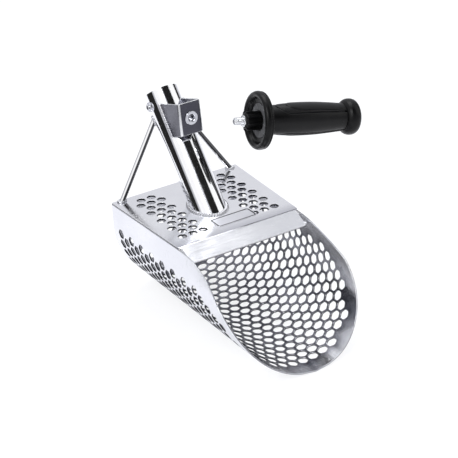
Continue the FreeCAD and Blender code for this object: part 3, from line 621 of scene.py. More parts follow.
def hexagon(x, y, flats, first_angle):
    """A clockwise hexagon with slightly eased corners."""
    radius = flats / math.sqrt(3.0)
    points = []
    for m in range(6):
        angle = first_angle - TAU * m / 6
        corner = Vector((math.cos(angle), math.sin(angle))) * radius
        for turn in (angle + TAU / 6, angle - TAU / 6):
            neighbour = Vector((math.cos(turn), math.sin(turn))) * radius
            eased = corner + (neighbour - corner) * (HEX_CORNER / radius)
            points.append((x + eased.x, y + eased.y))
    return points


def cell_corners(x, y, first_angle):
    """The corners of the honeycomb cell round a hole, where webs meet."""
    angles = [TAU * m / 6 + first_angle for m in range(6)]
    return [(x + PITCH / math.sqrt(3) * math.cos(a), y + PITCH / math.sqrt(3) * math.sin(a))
            for a in angles]


def distinct(points, places):
    return sorted({(round(a, places), round(b, places)) for a, b in points})


# ------------------------------------------------------------ scoop trough
# Flat pattern: around is the arc length from the bottom line (+ towards +X),
# along the distance from the back sheet towards -Y.
QUARTER_ARC = TROUGH_RADIUS * math.pi / 2
WALL_HEIGHT = AXIS_DEPTH - PLATE_THICK     # straight walls up to the plate's underside
# (along, z) of the sloping rim from the end of the top plate to past the bottom line
RIM = [(PLATE_LENGTH, -PLATE_THICK), (138.0, -2.3), (150.0, -3.6), (161.0, -6.2),
       (172.0, -10.0), (187.0, -16.6), (201.0, -25.2), (213.0, -35.8), (225.0, -49.0),
       (236.0, -64.0), (246.0, -80.0), (253.0, -92.0), (258.0, -103.0)]


def wall_inset(along):
    """How far the wall's top edge leans in; the walls taper together."""
    return TROUGH_RADIUS - (75.0 - 10.2 * along / 264.0)


def wall_length(along):
    return math.hypot(WALL_HEIGHT, wall_inset(along))


def trough_at(around, along):
    arc, side = abs(around), (1 if around >= 0 else -1)
    y = BACK_Y - along
    angle = min(arc, QUARTER_ARC) / TROUGH_RADIUS
    length, inset = wall_length(along), wall_inset(along)
    if arc <= QUARTER_ARC:
        climb = 0.0
        point = Vector((side * TROUGH_RADIUS * math.sin(angle), y,
                        -AXIS_DEPTH - TROUGH_RADIUS * math.cos(angle)))
    else:
        climb = (arc - QUARTER_ARC) / length
        point = Vector((side * (TROUGH_RADIUS - inset * climb), y,
                        -AXIS_DEPTH + WALL_HEIGHT * climb))
    arc_normal = Vector((side * math.sin(angle), 0, -math.cos(angle)))
    wall_normal = Vector((side * WALL_HEIGHT / length, -0.0386 * climb,
                          inset / length)).normalized()
    # ease the normal from arc to wall over 7 mm each side of the join
    blend = clamp01((arc - QUARTER_ARC + 7.0) / 14.0)
    blend = blend * blend * (3 - 2 * blend)
    return point, (arc_normal * (1 - blend) + wall_normal * blend).normalized()


def catmull(points, steps):
    """A smooth curve through points, with steps for each span."""
    P = [Vector(q) for q in points]
    P = [P[0] * 2 - P[1]] + P + [P[-1] * 2 - P[-2]]
    out = []
    for p0, p1, p2, p3 in zip(P, P[1:], P[2:], P[3:]):
        for k in range(steps):
            t = k / steps
            out.append(0.5 * ((2 * p1) + (p2 - p0) * t
                              + (2 * p0 - 5 * p1 + 4 * p2 - p3) * t * t
                              + (3 * p1 - p0 - 3 * p2 + p3) * t ** 3))
    out.append(P[-2])
    return out


def rim_around(along, z):
    if z > -AXIS_DEPTH:
        return QUARTER_ARC + wall_length(along) * (z + AXIS_DEPTH) / WALL_HEIGHT
    return TROUGH_RADIUS * math.acos((-AXIS_DEPTH - z) / TROUGH_RADIUS)


def trough_outline():
    rim = []
    for along, z in catmull(RIM, steps=6):
        if z <= -AXIS_DEPTH - TROUGH_RADIUS:
            break
        rim.append((rim_around(along, z), along))
    right = [p for p in rim if p[0] > 3.0]
    tip = (0.0, rim[-1][1] + 1.1)
    half = QUARTER_ARC + wall_length(0)
    back = [(-half + 2 * half * k / 96, 0.0) for k in range(96)]
    edge = [(QUARTER_ARC + wall_length(along), along)
            for along in (PLATE_LENGTH * k / 24 for k in range(24))]
    return (back + edge + right + [tip] + [(-s, along) for s, along in reversed(right)]
            + [(-s, along) for s, along in reversed(edge[1:])])


def rim_gap(along, z):
    """Distance in side view from a point to the sloping rim."""
    best = 1e9
    for (a0, z0), (a1, z1) in zip(RIM, RIM[1:]):
        da, dz = a1 - a0, z1 - z0
        t = clamp01(((along - a0) * da + (z - z0) * dz) / (da * da + dz * dz))
        best = min(best, math.hypot(along - a0 - t * da, z - z0 - t * dz))
    return best


def build_trough():
    holes, fill = [], []
    for i in range(-14, 12):
        along = 151.3 + i * STEP
        for k in range(-24, 25):
            if (i + k) % 2:
                continue
            around = k * PITCH / 2
            fill += cell_corners(around, along, TAU / 4) + [(around, along)]
            angle = around / TROUGH_RADIUS
            if along < 9 or along > 252 or abs(angle) > math.radians(91):
                continue
            z = -AXIS_DEPTH - TROUGH_RADIUS * math.cos(angle)
            if z > np.interp(along, *zip(*RIM)) or rim_gap(along, z) < 15.0:
                continue
            holes.append(hexagon(around, along, HEX_FLATS, TAU / 4))
    perforated("trough_shell", trough_outline(), holes, distinct(fill, 2), trough_at,
               thick=TROUGH_THICK, rim_round=0.5, materials=(SHEET, CUT_SHADE, SHADED_INSIDE),
               stands=("scoop_trough",))


# ------------------------------------------------------------ back sheet
BACK_RADIUS = 73.45                # sits just inside the trough
BACK_TOP = -2.05
BACK_SIDE = AXIS_DEPTH + BACK_TOP  # height of the straight sides


def back_at(u, v):
    """The pattern's u runs towards -X."""
    return Vector((-u, BACK_Y, v)), Vector((0, 1, 0))


def build_back():
    R = BACK_RADIUS
    outline = [(-R + 2 * R * k / 20, BACK_TOP) for k in range(20)]
    outline += [(R, BACK_TOP - BACK_SIDE * k / 6) for k in range(6)]
    outline += [(R * math.cos(a), -AXIS_DEPTH + R * math.sin(a))
                for a in (-math.pi * k / 72 for k in range(72))]
    outline += [(-R, -AXIS_DEPTH + BACK_SIDE * k / 6) for k in range(6)]
    outline.reverse()
    holes, fill = [], []
    for i in range(-8, 9):
        for k in range(-22, 5):
            if (i + k) % 2:
                continue
            x, z = i * STEP, -55.0 + k * PITCH / 2
            fill += cell_corners(x, z, 0.0)
            near_arc = (z < -AXIS_DEPTH
                        and math.hypot(x, z + AXIS_DEPTH) > TROUGH_RADIUS - 15)
            if z > -17 or near_arc or abs(x) > TROUGH_RADIUS - 14:
                continue
            holes.append(hexagon(x, z, HEX_FLATS, 0.0))
    perforated("back_sheet", outline, holes, distinct(fill, 2), back_at,
               thick=PLATE_THICK, rim_round=0.4, materials=(SHEET, CUT_SHADE, SHEET),
               stands=("back_plate",))


# ------------------------------------------------------------ top plate
# Flat pattern: u is X, v the developed distance from the back sheet.
LIP_RUN, LIP_DROP = 21.0, 9.4      # the lip folded down at the -Y end
LIP_ANGLE = math.atan2(LIP_DROP, LIP_RUN)
BEND_RADIUS = 4.0
BEND_START = PLATE_LENGTH - BEND_RADIUS * math.tan(LIP_ANGLE / 2)
BEND_END = BEND_START + BEND_RADIUS * LIP_ANGLE
LIP_END = BEND_END + math.hypot(LIP_RUN, LIP_DROP) - (PLATE_LENGTH - BEND_START)


def plate_at(u, v):
    if v <= BEND_START:
        return Vector((u, BACK_Y - v, 0)), Vector((0, 0, 1))
    angle = min(LIP_ANGLE, (v - BEND_START) / BEND_RADIUS)
    up = Vector((0, -math.sin(angle), math.cos(angle)))
    point = Vector((u, BACK_Y - BEND_START, -BEND_RADIUS)) + up * BEND_RADIUS
    if v > BEND_END:
        point += Vector((0, -math.cos(LIP_ANGLE), -math.sin(LIP_ANGLE))) * (v - BEND_END)
    return point, up


def plate_outline():
    side = [(75.0 - 5.0 * v / PLATE_LENGTH, v) for v in np.linspace(1.0, 124.2, 30)]
    # step in at the fold
    side += [(69.9, 125.2), (69.2, 126.2), (68.2, 127.0), (67.4, 128.2), (67.0, 130.0)]
    side += [(67.0, v) for v in np.linspace(132.5, LIP_END - 3.0, 7)]
    side += [(66.7, LIP_END - 1.6), (66.0, LIP_END - 0.6), (64.6, LIP_END)]
    outline = [(-x, 0.0) for x in np.linspace(74.2, -74.2, 31)] + side
    outline += [(x, LIP_END) for x in np.linspace(62.0, -62.0, 27)]
    outline += [(-x, v) for x, v in reversed(side)]
    return [(float(x), float(v)) for x, v in outline]


def build_plate():
    """Ten rows of five hexagon places on each side, in staggered rows."""
    holes, fill = [], []
    for j in range(-2, 13):
        v = 107.6 - j * STEP
        for k in range(-12, 22):
            if (j + k) % 2:
                continue
            for side in (-1, 1):
                x = side * (54.0 - k * PITCH / 2)
                if side * x < -1:
                    continue
                fill += cell_corners(x, v, TAU / 4) + [(x, v)]
                if 0 <= j < 10 and 0 <= k < 5:
                    holes.append(hexagon(x, v, PLATE_HEX_FLATS, TAU / 4))
    fill = distinct([(x, v) for x, v in fill if v < BEND_START - 1], 1)
    lip = LIP_END - BEND_END
    bands = [[(float(x), v) for x in np.linspace(-66.0, 66.0, 34)]
             for v in (BEND_START, (BEND_START + BEND_END) / 2, BEND_END,
                       BEND_END + 0.35 * lip, BEND_END + 0.7 * lip)]
    perforated("top_sheet", plate_outline(), holes, fill, plate_at,
               thick=PLATE_THICK, rim_round=0.55, materials=(PLATE, CUT_SHADE, SHADED_INSIDE),
               stands=("top_plate",), fixed_lines=bands)


# ------------------------------------------------------------ blank patch
PATCH_X, PATCH_Y = 7.5, -38.2
PATCH_HALF_X, PATCH_HALF_Y = 23.0, 9.4
PATCH_CORNER = 3.4
# (inset, height) from the plate inwards: raised border, groove, field
PATCH_ROWS = [(0.0, 0.004), (0.0, 0.26), (0.14, 0.36), (0.62, 0.36), (0.76, 0.26),
              (0.78, 0.06), (2.0, 0.06), (2.04, 0.22), (2.2, 0.28), (3.2, 0.28)]


def build_patch():
    """A plain rounded rectangle on the top plate."""
    dx, dy = PATCH_HALF_X - PATCH_CORNER, PATCH_HALF_Y - PATCH_CORNER
    loop = []
    for x, y, start in ((dx, dy, 0), (-dx, dy, 90), (-dx, -dy, 180), (dx, -dy, 270)):
        for k in range(9):
            a = math.radians(start + 90 * k / 8)
            loop.append((x + PATCH_CORNER * math.cos(a), y + PATCH_CORNER * math.sin(a)))
    count, mitres = len(loop), loop_normals(loop)
    verts = [(PATCH_X + p[0] - n.x * inset, PATCH_Y + p[1] - n.y * inset, height)
             for inset, height in PATCH_ROWS for p, n in zip(loop, mitres)]
    faces, index = [], []
    last = len(PATCH_ROWS) - 1
    for j in range(last):
        faces += band_faces(j * count, (j + 1) * count, count)
        # the groove takes the cut material's painted shade
        index += [1 if 3 < j < 7 else 0] * count
    faces += [tuple(last * count + i for i in range(count)), tuple(reversed(range(count)))]
    index += [0, 0]
    make("blank_patch", verts, faces, SCOOP, (ETCHED, CUT_SHADE),
         sharp=30, index=index)


# ------------------------------------------------------------ weld beads
def bead(path, radius, period, ripple, seed, closed=False, sides=14, lump=0.12):
    """A weld bead swept along a path, rippled at about one period and
    lumpy by a share of its radius."""
    P = [Vector(p) for p in path]
    n = len(P)
    run = [0.0]
    for before, after in zip(P, P[1:]):
        run.append(run[-1] + (after - before).length)
    total = run[-1] + ((P[0] - P[-1]).length if closed else 0)
    waves = max(1, round(total / period))
    verts, faces = [], []
    for i in range(n):
        before = P[i - 1] if (closed or i) else P[0]
        after = P[(i + 1) % n] if (closed or i < n - 1) else P[-1]
        ahead = (after - before).normalized()
        side = ahead.cross(Vector((0, 0, 1)))
        if side.length < 0.2:
            side = ahead.cross(Vector((0, 1, 0)))
        side.normalize()
        top = side.cross(ahead).normalized()
        taper = 1.0
        if not closed:
            from_end = min(run[i], total - run[i]) / radius
            taper = max(math.sqrt(max(0.0, 1 - (1 - min(1.0, from_end)) ** 2)), 0.02)
        for k in range(sides):
            angle = TAU * k / sides
            phase = TAU * waves * run[i] / total + 1.3 * math.sin(angle)
            crest = ripple * (0.5 + 0.5 * math.cos(phase)) ** 1.5
            wobble = noise.noise(P[i] * 0.22 + Vector((seed, angle * 0.4, 0))) * lump * radius
            r = (radius - ripple * 0.5 + crest + wobble) * taper
            verts.append(P[i] + side * (math.cos(angle) * r) + top * (math.sin(angle) * r))
    for i in range(n if closed else n - 1):
        faces += band_faces(i * sides, (i + 1) % n * sides, sides)
    if not closed:
        faces.append(tuple(reversed(range(sides))))
        faces.append(tuple((n - 1) * sides + k for k in range(sides)))
    return verts, faces


def make_beads(name, beads, place=SCOOP, stands=()):
    """One piece from several beads."""
    verts, faces = [], []
    for bead_verts, bead_faces in beads:
        base = len(verts)
        verts += bead_verts
        faces += [tuple(i + base for i in face) for face in bead_faces]
    make(name, verts, faces, place, (WELD,), stands=stands, sharp=None)


def build_socket_weld():
    """Round the socket's foot, an ellipse on the top plate."""
    half_y, half_x, z = SOCKET_RADIUS / COS + 0.55, SOCKET_RADIUS + 0.5, 0.55
    angles = [TAU * k / 480 for k in range(480)]
    ring = [(half_x * math.sin(a), half_y * math.cos(a), z) for a in angles]
    make_beads("socket_weld_bead",
               [bead(ring, radius=1.65, period=2.5, ripple=0.46, seed=3.1, closed=True)],
               stands=("socket_weld",))


def build_bracket_welds():
    """Two straight beads along the -Y side of the socket, one on each side."""
    beads = []
    for side in (-1, 1):
        path = [(side * 13.75, -12.7, -52.6 + 37.2 * k / 120) for k in range(121)]
        beads.append(bead(path, radius=1.75, period=2.3, ripple=0.35, seed=side * 2.0,
                          sides=12))
    make_beads("bracket_weld_beads", beads, place=TUBE, stands=("bracket_welds",))


def build_brace_welds():
    """Round both ends of each brace rod, at the top plate and at the socket."""
    axis = Vector((0, SIN, COS))
    beads = []
    for side in (-1, 1):
        foot, top = Vector((side * 65.0, 61.5, 0)), Vector((side * 15.0, 70.5, 76.7))
        unit = (top - foot).normalized()
        across = unit.cross(Vector((0, 0, 1))).normalized()
        upward = unit.cross(across)

        def rod_lines(radius):
            """Points round the rod's foot; the rod's lines run through them."""
            return [foot + (across * math.cos(a) + upward * math.sin(a)) * radius
                    for a in (TAU * k / 90 for k in range(90))]

        ring = [p - unit * (p.z / unit.z) + Vector((0, 0, 0.45)) for p in rod_lines(3.1)]
        beads.append(bead(ring, radius=1.5, period=2.1, ripple=0.34, seed=side * 5.0,
                          closed=True, lump=0.25))
        ring = []
        for p in rod_lines(3.0):
            # first crossing of this line with the socket's wall
            slope = unit - axis * unit.dot(axis)
            start = p - axis * p.dot(axis)
            qa, qb = slope.dot(slope), 2 * start.dot(slope)
            qc = start.dot(start) - (SOCKET_RADIUS + 0.1) ** 2
            root = math.sqrt(max(0.0, qb * qb - 4 * qa * qc))
            ring.append(p + unit * ((-qb - root) / (2 * qa)))
        beads.append(bead(ring, radius=1.35, period=2.1, ripple=0.30, seed=side * 7.0,
                          closed=True, lump=0.25))
    make_beads("brace_weld_beads", beads, stands=("brace_welds",))


def build_corner_tacks():
    """Two short beads down each side edge of the lip."""
    beads = []
    for side in (-1, 1):
        for y0, z0, y1, z1 in ((-61.5, -1.9, -66.5, -4.0), (-75.5, -7.2, -79.6, -9.2)):
            start, end = Vector((side * 67.7, y0, z0)), Vector((side * 67.7, y1, z1))
            path = [start.lerp(end, k / 30) for k in range(31)]
            beads.append(bead(path, radius=1.5, period=1.9, ripple=0.32, seed=y0 + side,
                              sides=12, lump=0.3))
    make_beads("corner_tack_beads", beads)


# ------------------------------------------------------------ threaded stud
THREAD_LENGTH, THREAD_LEAD = 9.4, 1.25
THREAD_RADIUS, THREAD_DEPTH = 4.0, 0.66
SHANK_RADIUS = 3.8
HEAD_START, HEAD_END = 38.0, 44.5
HEAD_HALF_FLATS = 6.5


def thread_radius(z, turn):
    phase = (z / THREAD_LEAD + turn) % 1.0
    ridge = abs(phase - 0.5) * 2.0
    r = THREAD_RADIUS - THREAD_DEPTH * (1 - clamp01((ridge - 0.08) / 0.80))
    if z < 1.0:
        r = min(r, 3.1 + z)                     # lead-in cone
    if z > 8.6:
        r = max(r, 3.35 + (z - 8.6) * 0.55)     # run-out
    return r


def build_stud():
    segs = 72
    rows = [([1.6] * segs, 0.0), ([2.6] * segs, 0.0)]
    for z in (THREAD_LENGTH * k / 149 for k in range(150)):
        rows.append(([thread_radius(z, k / segs) for k in range(segs)], z))
    rows += [([SHANK_RADIUS] * segs, z) for z in (9.45, 12.0, 20.0, HEAD_START)]
    angles = [TAU * k / segs for k in range(segs)]
    head = [HEAD_HALF_FLATS / max(math.cos((a % (TAU / 6)) - TAU / 12), 0.8) for a in angles]
    verts = [(0, 0, 0.35)]
    for radii, z in rows + [(head, HEAD_START), (head, HEAD_END)]:
        verts += [polar(r, a, z) for r, a in zip(radii, angles)]
    faces = [(0, 1 + (k + 1) % segs, 1 + k) for k in range(segs)]
    for j in range(len(rows) - 1):
        faces += band_faces(1 + j * segs, 1 + (j + 1) * segs, segs)
    head_top = len(verts) - segs
    head_base = head_top - segs
    for pair in zip(band_faces(head_base - segs, head_base, segs),
                    band_faces(head_base, head_top, segs)):
        faces += pair
    faces.append(tuple(head_top + k for k in range(segs)))
    make("threaded_stud", verts, faces, HANDLE, (STUD,), body="side_handle",
         stands=("handle_stud",), sharp=50)


# ------------------------------------------------------------ ribbed hub
# (r, z, fillet)
HUB = [(3.83, 11.0, 0), (7.2, 11.0, 0.5), (8.4, 12.1, 0.6), (8.4, 27.9, 0.3), (3.83, 27.9, 0)]


def hub_shift(r, z, angle):
    """Eight ribs, 1.8 mm high, that rise out of the hub's lower end."""
    if r < 6.0 or z < 11.1:
        return 0, 0
    from_rib = abs(((angle / TAU * 8 + 0.5) % 1.0) - 0.5) * 2.0
    lift = clamp01((1.0 - from_rib / 0.34) * 1.9)
    return 1.8 * lift * clamp01((z - 11.4) / 0.8), 0


def build_hub():
    outline = subdivided(rounded(HUB, steps=4), 12,
                         lambda r0, z0, r1, z1: abs(z1 - z0) > 4 and r0 > 8)
    lathe("ribbed_hub", outline, segments=192, shift=hub_shift, stands=("handle_hub",),
          sharp=38)


# ------------------------------------------------------------ guard ring
# (r, z, fillet): recess floor, rolled rim, groove in the edge, far face
GUARD = [(3.85, 28.05, 0), (9.6, 28.05, 0.3), (10.6, 27.55, 0.5), (17.4, 27.45, 0.5),
         (18.2, 28.0, 0.4), (21.6, 28.0, 0.5), (22.6, 26.6, 1.0), (23.4, 24.4, 1.0),
         (24.6, 23.1, 1.2), (26.2, 22.5, 1.4), (27.8, 22.7, 1.4), (29.1, 23.9, 1.2),
         (29.8, 25.7, 1.0), (30.0, 27.3, 1.0), (29.75, 28.7, 0.7), (29.0, 29.3, 0.4),
         (28.9, 29.9, 0.3), (29.5, 30.4, 0.4), (29.2, 31.2, 0.5), (27.6, 31.95, 0.8),
         (17.0, 32.0, 1), (3.85, 32.0, 0)]


def pebble(r, z, angle):
    """Pebbled grain and twelve spokes on the annular floor."""
    if 10.9 < r < 17.3 and z < 28.2:
        grain = noise.noise(Vector(polar(r, angle, 0)) * 0.85)
        spoke = 0.45 if abs(((angle / TAU * 12) % 1.0) - 0.5) > 0.44 else 0.0
        return 0, -0.22 * abs(grain) - spoke
    return 0, 0


def build_guard():
    def on_floor(r0, z0, r1, z1):
        return 10.0 < min(r0, r1) and max(r0, r1) < 18.5 and abs(r1 - r0) > 2 and z0 < 29

    # the recess floor takes the grey plastic's painted light
    lathe("guard_ring", subdivided(rounded(GUARD, steps=4), 14, on_floor), segments=256,
          shift=pebble, stands=("handle_guard",), sharp=50, materials=(PLASTIC, LIT_RECESS),
          zone=lambda r, z: 1 if 10.3 < r < 17.6 and z < 28.3 else 0)


# ------------------------------------------------------------ grip sleeve
GRIP_START, GRIP_END = 32.2, 120.95
GRIP_BORE = 9.55
# (z, radius) of the sleeve before relief
GRIP = [(GRIP_START, 13.4), (33.2, 14.2), (38.2, 14.45), (46.2, 15.4), (57.2, 16.24),
        (72.2, 16.6), (89.2, 16.29), (104.2, 15.3), (116.2, 14.31), (121.0, 14.0)]
# panel outlines: (z, degrees away from the panel's middle line)
OUTER_PANEL = [(43.8, 0.0), (44.4, 12.0), (46.6, 24.0), (50.4, 36.0), (54.6, 45.0),
               (57.0, 47.5), (62.0, 47.8), (86.0, 46.5), (109.0, 46.0), (118.2, 45.0),
               (122.0, 44.0)]
INNER_PANEL = [(54.8, 0.0), (55.4, 10.0), (58.0, 20.0), (62.0, 28.5), (66.0, 34.2),
               (69.0, 36.2), (74.0, 36.6), (96.0, 36.2), (109.0, 36.6), (116.0, 39.5),
               (122.0, 42.0)]


def grip_radius(z):
    """A Hermite curve through the GRIP stations."""
    z = max(GRIP[0][0], min(GRIP[-1][0], z))
    i = next(i for i in range(len(GRIP) - 1) if z <= GRIP[i + 1][0])
    (z0, r0), (z1, r1) = GRIP[i], GRIP[i + 1]
    z_before, r_before = GRIP[max(i - 1, 0)]
    z_after, r_after = GRIP[min(i + 2, len(GRIP) - 1)]
    slope0 = (r1 - r_before) / (z1 - z_before)
    slope1 = (r_after - r0) / (z_after - z0)
    h = z1 - z0
    t = (z - z0) / h
    return (r0 * (2 * t ** 3 - 3 * t ** 2 + 1) + slope0 * h * (t ** 3 - 2 * t ** 2 + t)
            + r1 * (-2 * t ** 3 + 3 * t ** 2) + slope1 * h * (t ** 3 - t ** 2))


def panel_field(panel, z, across):
    """Distance to a panel's outline and whether a point is within it."""
    line = np.array([(pz, math.radians(degrees) * grip_radius(pz)) for pz, degrees in panel])
    best = np.full(z.shape, 1e9)
    for (z0, a0), (z1, a1) in zip(line, line[1:]):
        dz, da = z1 - z0, a1 - a0
        t = np.clip(((z - z0) * dz + (across - a0) * da) / (dz * dz + da * da), 0, 1)
        best = np.minimum(best, np.hypot(z - z0 - t * dz, across - a0 - t * da))
    return best, across < np.interp(z, line[:, 0], line[:, 1], left=-1.0)


def groove(distance, depth, width):
    return depth * np.exp(-(distance / width) ** 2)


def relieved_radius(z, angle):
    """Sleeve radius with the panels on the local +X and -X sides."""
    base = np.array([grip_radius(row) for row in z[:, 0]])[:, None] * np.ones_like(z)
    from_middle = np.abs((angle + math.pi / 2) % math.pi - math.pi / 2)
    across = from_middle * base
    to_outer, in_outer = panel_field(OUTER_PANEL, z, across)
    to_inner, in_inner = panel_field(INNER_PANEL, z, across)
    relief = -groove(to_outer, depth=1.15, width=0.66)
    relief -= groove(to_inner, depth=1.05, width=0.60)
    relief += np.where(in_outer, 0.16 * np.clip(to_outer / 1.2, 0, 1), 0)
    relief += np.where(in_inner, 0.34 * np.clip(to_inner / 2.4, 0, 1) ** 0.6, 0)
    # slanted ribs: between the outlines near the guard, and in the inner panel's far end
    ribs = np.sin((z - across * 0.62) * TAU / 1.7) * 0.5 + 0.5
    clear_inner = np.clip(to_inner, 0, 1)
    fade = np.clip(to_outer, 0, 1) * clear_inner * np.clip((68.0 - z) / 4.0, 0, 1)
    relief -= np.where(in_outer & ~in_inner & (z < 68.0), 0.24 * ribs * fade, 0)
    fade = np.clip((z - 111.5) / 2.0, 0, 1) * clear_inner
    relief -= np.where(in_inner & (z > 111.5), 0.16 * ribs * fade, 0)
    # a ring groove near the guard and a faint line down the middle between panels
    relief -= groove(z - 36.4, depth=0.35, width=0.55)
    relief -= groove((from_middle - math.pi / 2) * base, depth=0.05, width=0.25)
    return base + relief


def build_grip():
    segs, ring_count = 336, 250
    heights = np.linspace(GRIP_START, GRIP_END, ring_count)
    angles = np.arange(segs) * TAU / segs
    radius = relieved_radius(*np.meshgrid(heights, angles, indexing="ij"))
    verts = [polar(radius[i, k], angles[k], heights[i])
             for i in range(ring_count) for k in range(segs)]
    faces = []
    for i in range(ring_count - 1):
        faces += band_faces(i * segs, (i + 1) * segs, segs)
    # end faces in to the bore, then the bore's wall
    near = len(verts)
    far = near + segs
    for z in (GRIP_START, GRIP_END):
        verts += [polar(GRIP_BORE, a, z) for a in angles]
    faces += [tuple(reversed(face)) for face in band_faces(0, near, segs)]
    faces += band_faces((ring_count - 1) * segs, far, segs)
    for k in range(segs):
        m = (k + 1) % segs
        faces.append((near + k, far + k, far + m, near + m))
    make("grip_sleeve", verts, faces, HANDLE, (RUBBER,), body="side_handle",
         stands=("handle_grip", "grip_panel_upper", "grip_panel_lower"), sharp=60)


# ------------------------------------------------------------ end knob
# (r, z, fillet)
KNOB = [(0, 121.02, 0), (13.2, 121.02, 0.8), (14.9, 121.6, 1.5), (16.9, 123.1, 2),
        (18.3, 125.2, 2), (18.95, 128.2, 3), (18.75, 131.6, 3), (17.6, 134.3, 2.4),
        (15.6, 136.2, 2), (12.6, 137.2, 2), (8.0, 137.45, 0.8), (6.6, 137.2, 0.5),
        (5.9, 136.7, 0.4), (0, 136.6, 0)]


def knob_shift(r, z, angle):
    """Fine rings round the widest part."""
    if r > 15 and 124 < z < 133:
        return -0.10 * (0.5 + 0.5 * math.cos(z * TAU / 1.5)), 0
    return 0, 0


def build_knob():
    lathe("end_knob", rounded(KNOB, steps=5), segments=192, shift=knob_shift,
          stands=("handle_end_cap",), sharp=60)


# ------------------------------------------------------------ CAD pieces kept
CAD_MATERIALS = {
    "socket_tube": POLISHED, "lock_boss": BUSH, "lock_screw": BRACKET, "lock_tip": NYLON,
    "handle_bracket": BRACKET, "handle_bush": BUSH, "brace_rod_left": ROD,
    "brace_rod_right": ROD, "captive_washer": STUD, "handle_core": PLASTIC,
}
# bevel widths in metres
CAD_BEVELS = {"handle_bracket": 0.0006, "lock_boss": 0.0003, "handle_bush": 0.0002,
              "captive_washer": 0.0002, "lock_screw": 0.0001}


def finish_cad():
    for name, material in CAD_MATERIALS.items():
        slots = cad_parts[name].data.materials
        slots.clear()
        slots.append(material)
    for name, width in CAD_BEVELS.items():
        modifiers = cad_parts[name].modifiers
        weld = modifiers.new("weld", "WELD")
        weld.merge_threshold = 1e-6
        bevel = modifiers.new("bevel", "BEVEL")
        bevel.width = width
        bevel.segments = 3
        bevel.limit_method = "ANGLE"
        bevel.angle_limit = math.radians(38)
        bevel.harden_normals = True


# ------------------------------------------------------------ stage (metres)
FLOOR_Z = CAD_LO.z - 0.0006
FLOOR_HALF = 9
LIGHT_TARGET = (0, -0.1, -0.1)


def build_floor():
    """A glowing pale floor, brighter and less shaded to the camera."""
    h = FLOOR_HALF
    me = bpy.data.meshes.new("floor")
    me.from_pydata([(x, y, FLOOR_Z) for x, y in ((-h, -h), (h, -h), (h, h), (-h, h))],
                   [], [(0, 1, 2, 3)])
    floor = add_object("floor", me)
    material = bpy.data.materials.new("pale_floor")
    material.use_nodes = True
    nodes = Nodes(material.node_tree)
    output = nodes.add("ShaderNodeOutputMaterial")
    clouds = nodes.noise(nodes.position(), scale=3.0, detail=2.0, rough=0.5)
    tone = nodes.ramp(clouds, stops=[(0.3, (0.60, 0.60, 0.615)), (0.7, (0.64, 0.64, 0.655))])
    diffuse = nodes.add("ShaderNodeBsdfDiffuse")
    glow = nodes.add("ShaderNodeEmission", {0: (0.985, 0.99, 1.0, 1)})
    to_camera = nodes.add("ShaderNodeLightPath").outputs["Is Camera Ray"]
    nodes.feed(glow, 1, nodes.remap(to_camera, target=(0.34, 0.80)))
    nodes.feed(diffuse, 0, nodes.mix(to_camera, tone, (0.24, 0.24, 0.242)))
    both = nodes.add("ShaderNodeAddShader", {0: diffuse.outputs[0], 1: glow.outputs[0]})
    nodes.feed(output, 0, both.outputs[0])
    me.materials.append(material)


def area_light(name, location, size, power, size_y=None):
    light = bpy.data.lights.new(name, "AREA")
    light.energy = power
    light.size = size
    if size_y:
        light.shape = "RECTANGLE"
        light.size_y = size_y
    ob = add_object(name, light)
    ob.location = location
    ob.rotation_mode = "QUATERNION"
    aim = Vector(LIGHT_TARGET) - Vector(location)
    ob.rotation_quaternion = aim.to_track_quat("-Z", "Y")


def build_lights():
    area_light("key_light", (-1.1, -0.9, 1.5), size=0.8, size_y=1.0, power=17.0)
    area_light("top_light", (0.25, 0.55, 1.6), size=1.1, power=11.0)
    area_light("side_light", (1.5, -0.6, 0.8), size=0.5, size_y=0.9, power=6.0)


# Cards stand round the socket tube where its wall mirrors them.
TUBE_MIDDLE = Vector((0, -0.045, -0.05))
TUBE_AXIS = Vector((0, 0.63608, 0.77162))
TUBE_FRONT = Vector((0, -0.77162, 0.63608))


def card(name, angle, spread, distance, length, level):
    """An emitting card seen only in reflections. angle is from TUBE_FRONT
    towards +X, spread the angle its width covers, both in degrees."""
    a = math.radians(angle)
    away = (TUBE_FRONT * math.cos(a) + Vector((1, 0, 0)) * math.sin(a)) * 0.992
    centre = TUBE_MIDDLE + (away + TUBE_AXIS * 0.128) * distance
    width = 2 * distance * math.tan(math.radians(spread / 2))
    facing = (TUBE_MIDDLE - centre).normalized()
    across = TUBE_AXIS.cross(facing).normalized()
    upward = facing.cross(across)
    me = bpy.data.meshes.new(name)
    me.from_pydata([tuple(centre + across * (x * width / 2) + upward * (y * length / 2))
                    for x, y in ((-1, -1), (1, -1), (1, 1), (-1, 1))], [], [(0, 1, 2, 3)])
    ob = add_object(name, me)
    material, nodes, surface = new_material(name + "_mat", "ShaderNodeEmission")
    nodes.feed(surface, 0, (1, 1, 1, 1))
    nodes.feed(surface, 1, level)
    me.materials.append(material)
    ob.visible_camera = False
    ob.visible_shadow = False
    ob.visible_diffuse = False


def build_cards():
    # (name, angle, spread, distance, length, level)
    for row in (("dark_strip_front", 8.0, 45.0, 1.30, 1.10, 0.014),
                ("dark_strip_right", 82.0, 18.0, 1.35, 1.10, 0.012),
                ("dark_strip_left", -113.0, 52.0, 0.62, 0.50, 0.02),
                ("white_strip_left", -58.0, 36.0, 1.50, 1.20, 1.05),
                ("white_strip_right", 52.0, 44.0, 1.50, 1.10, 1.05)):
        card(*row)


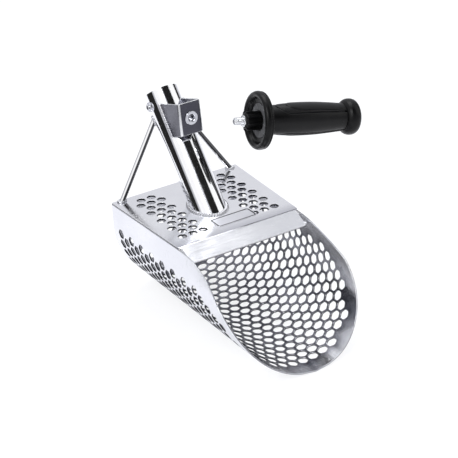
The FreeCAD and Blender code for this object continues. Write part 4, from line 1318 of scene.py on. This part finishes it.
def build_world():
    """Soft grey bands by elevation light the scene; the camera sees near white."""
    world = bpy.data.worlds.new("studio")
    scene.world = world
    world.use_nodes = True
    nodes = Nodes(world.node_tree)
    output = nodes.add("ShaderNodeOutputWorld")
    direction = nodes.add("ShaderNodeTexCoord").outputs["Generated"]
    height = nodes.add("ShaderNodeSeparateXYZ", {0: direction}).outputs[2]
    bands = nodes.ramp(nodes.remap(height, source=(-0.3, 1.0)), stops=[
        (0.0, (0.62, 0.62, 0.64)), (0.23, (0.70, 0.70, 0.73)), (0.33, (0.46, 0.46, 0.49)),
        (0.48, (0.74, 0.745, 0.79)), (0.75, (0.84, 0.85, 0.89)), (1.0, (0.62, 0.63, 0.67))])
    # background inputs are colour and strength
    lighting = nodes.add("ShaderNodeBackground", {0: bands, 1: 0.95})
    seen = nodes.add("ShaderNodeBackground", {0: (0.965, 0.97, 0.98, 1), 1: 1.0})
    to_camera = nodes.add("ShaderNodeLightPath").outputs["Is Camera Ray"]
    switch = nodes.add("ShaderNodeMixShader", {
        0: to_camera, 1: lighting.outputs[0], 2: seen.outputs[0]})
    nodes.feed(output, 0, switch.outputs[0])


CAMERA_AT = Vector((-0.808495, -1.497730, 0.726239))
# the camera's own X, Y and Z axes
CAMERA_AXES = (Vector((0.84808, -0.52768, -0.04813)),
               Vector((0.28132, 0.37143, 0.88482)),
               Vector((-0.44903, -0.76393, 0.46345)))


def build_camera():
    data = bpy.data.cameras.new("camera")
    data.sensor_width = 36.0       # millimetres, as is the lens
    data.lens = 141.4847162
    data.clip_start = 0.05
    data.clip_end = 60.0
    camera = add_object("camera", data)
    pose = Matrix(CAMERA_AXES).transposed().to_4x4()
    pose.translation = CAMERA_AT
    camera.matrix_world = pose
    scene.camera = camera
    scene.view_settings.view_transform = "Standard"
    scene.view_settings.look = "None"


# ------------------------------------------------------------ build
for build in (build_trough, build_back, build_plate, build_patch,
              build_socket_weld, build_bracket_welds, build_brace_welds, build_corner_tacks,
              build_stud, build_hub, build_guard, build_grip, build_knob,
              finish_cad, build_floor, build_lights, build_cards, build_world, build_camera):
    build()
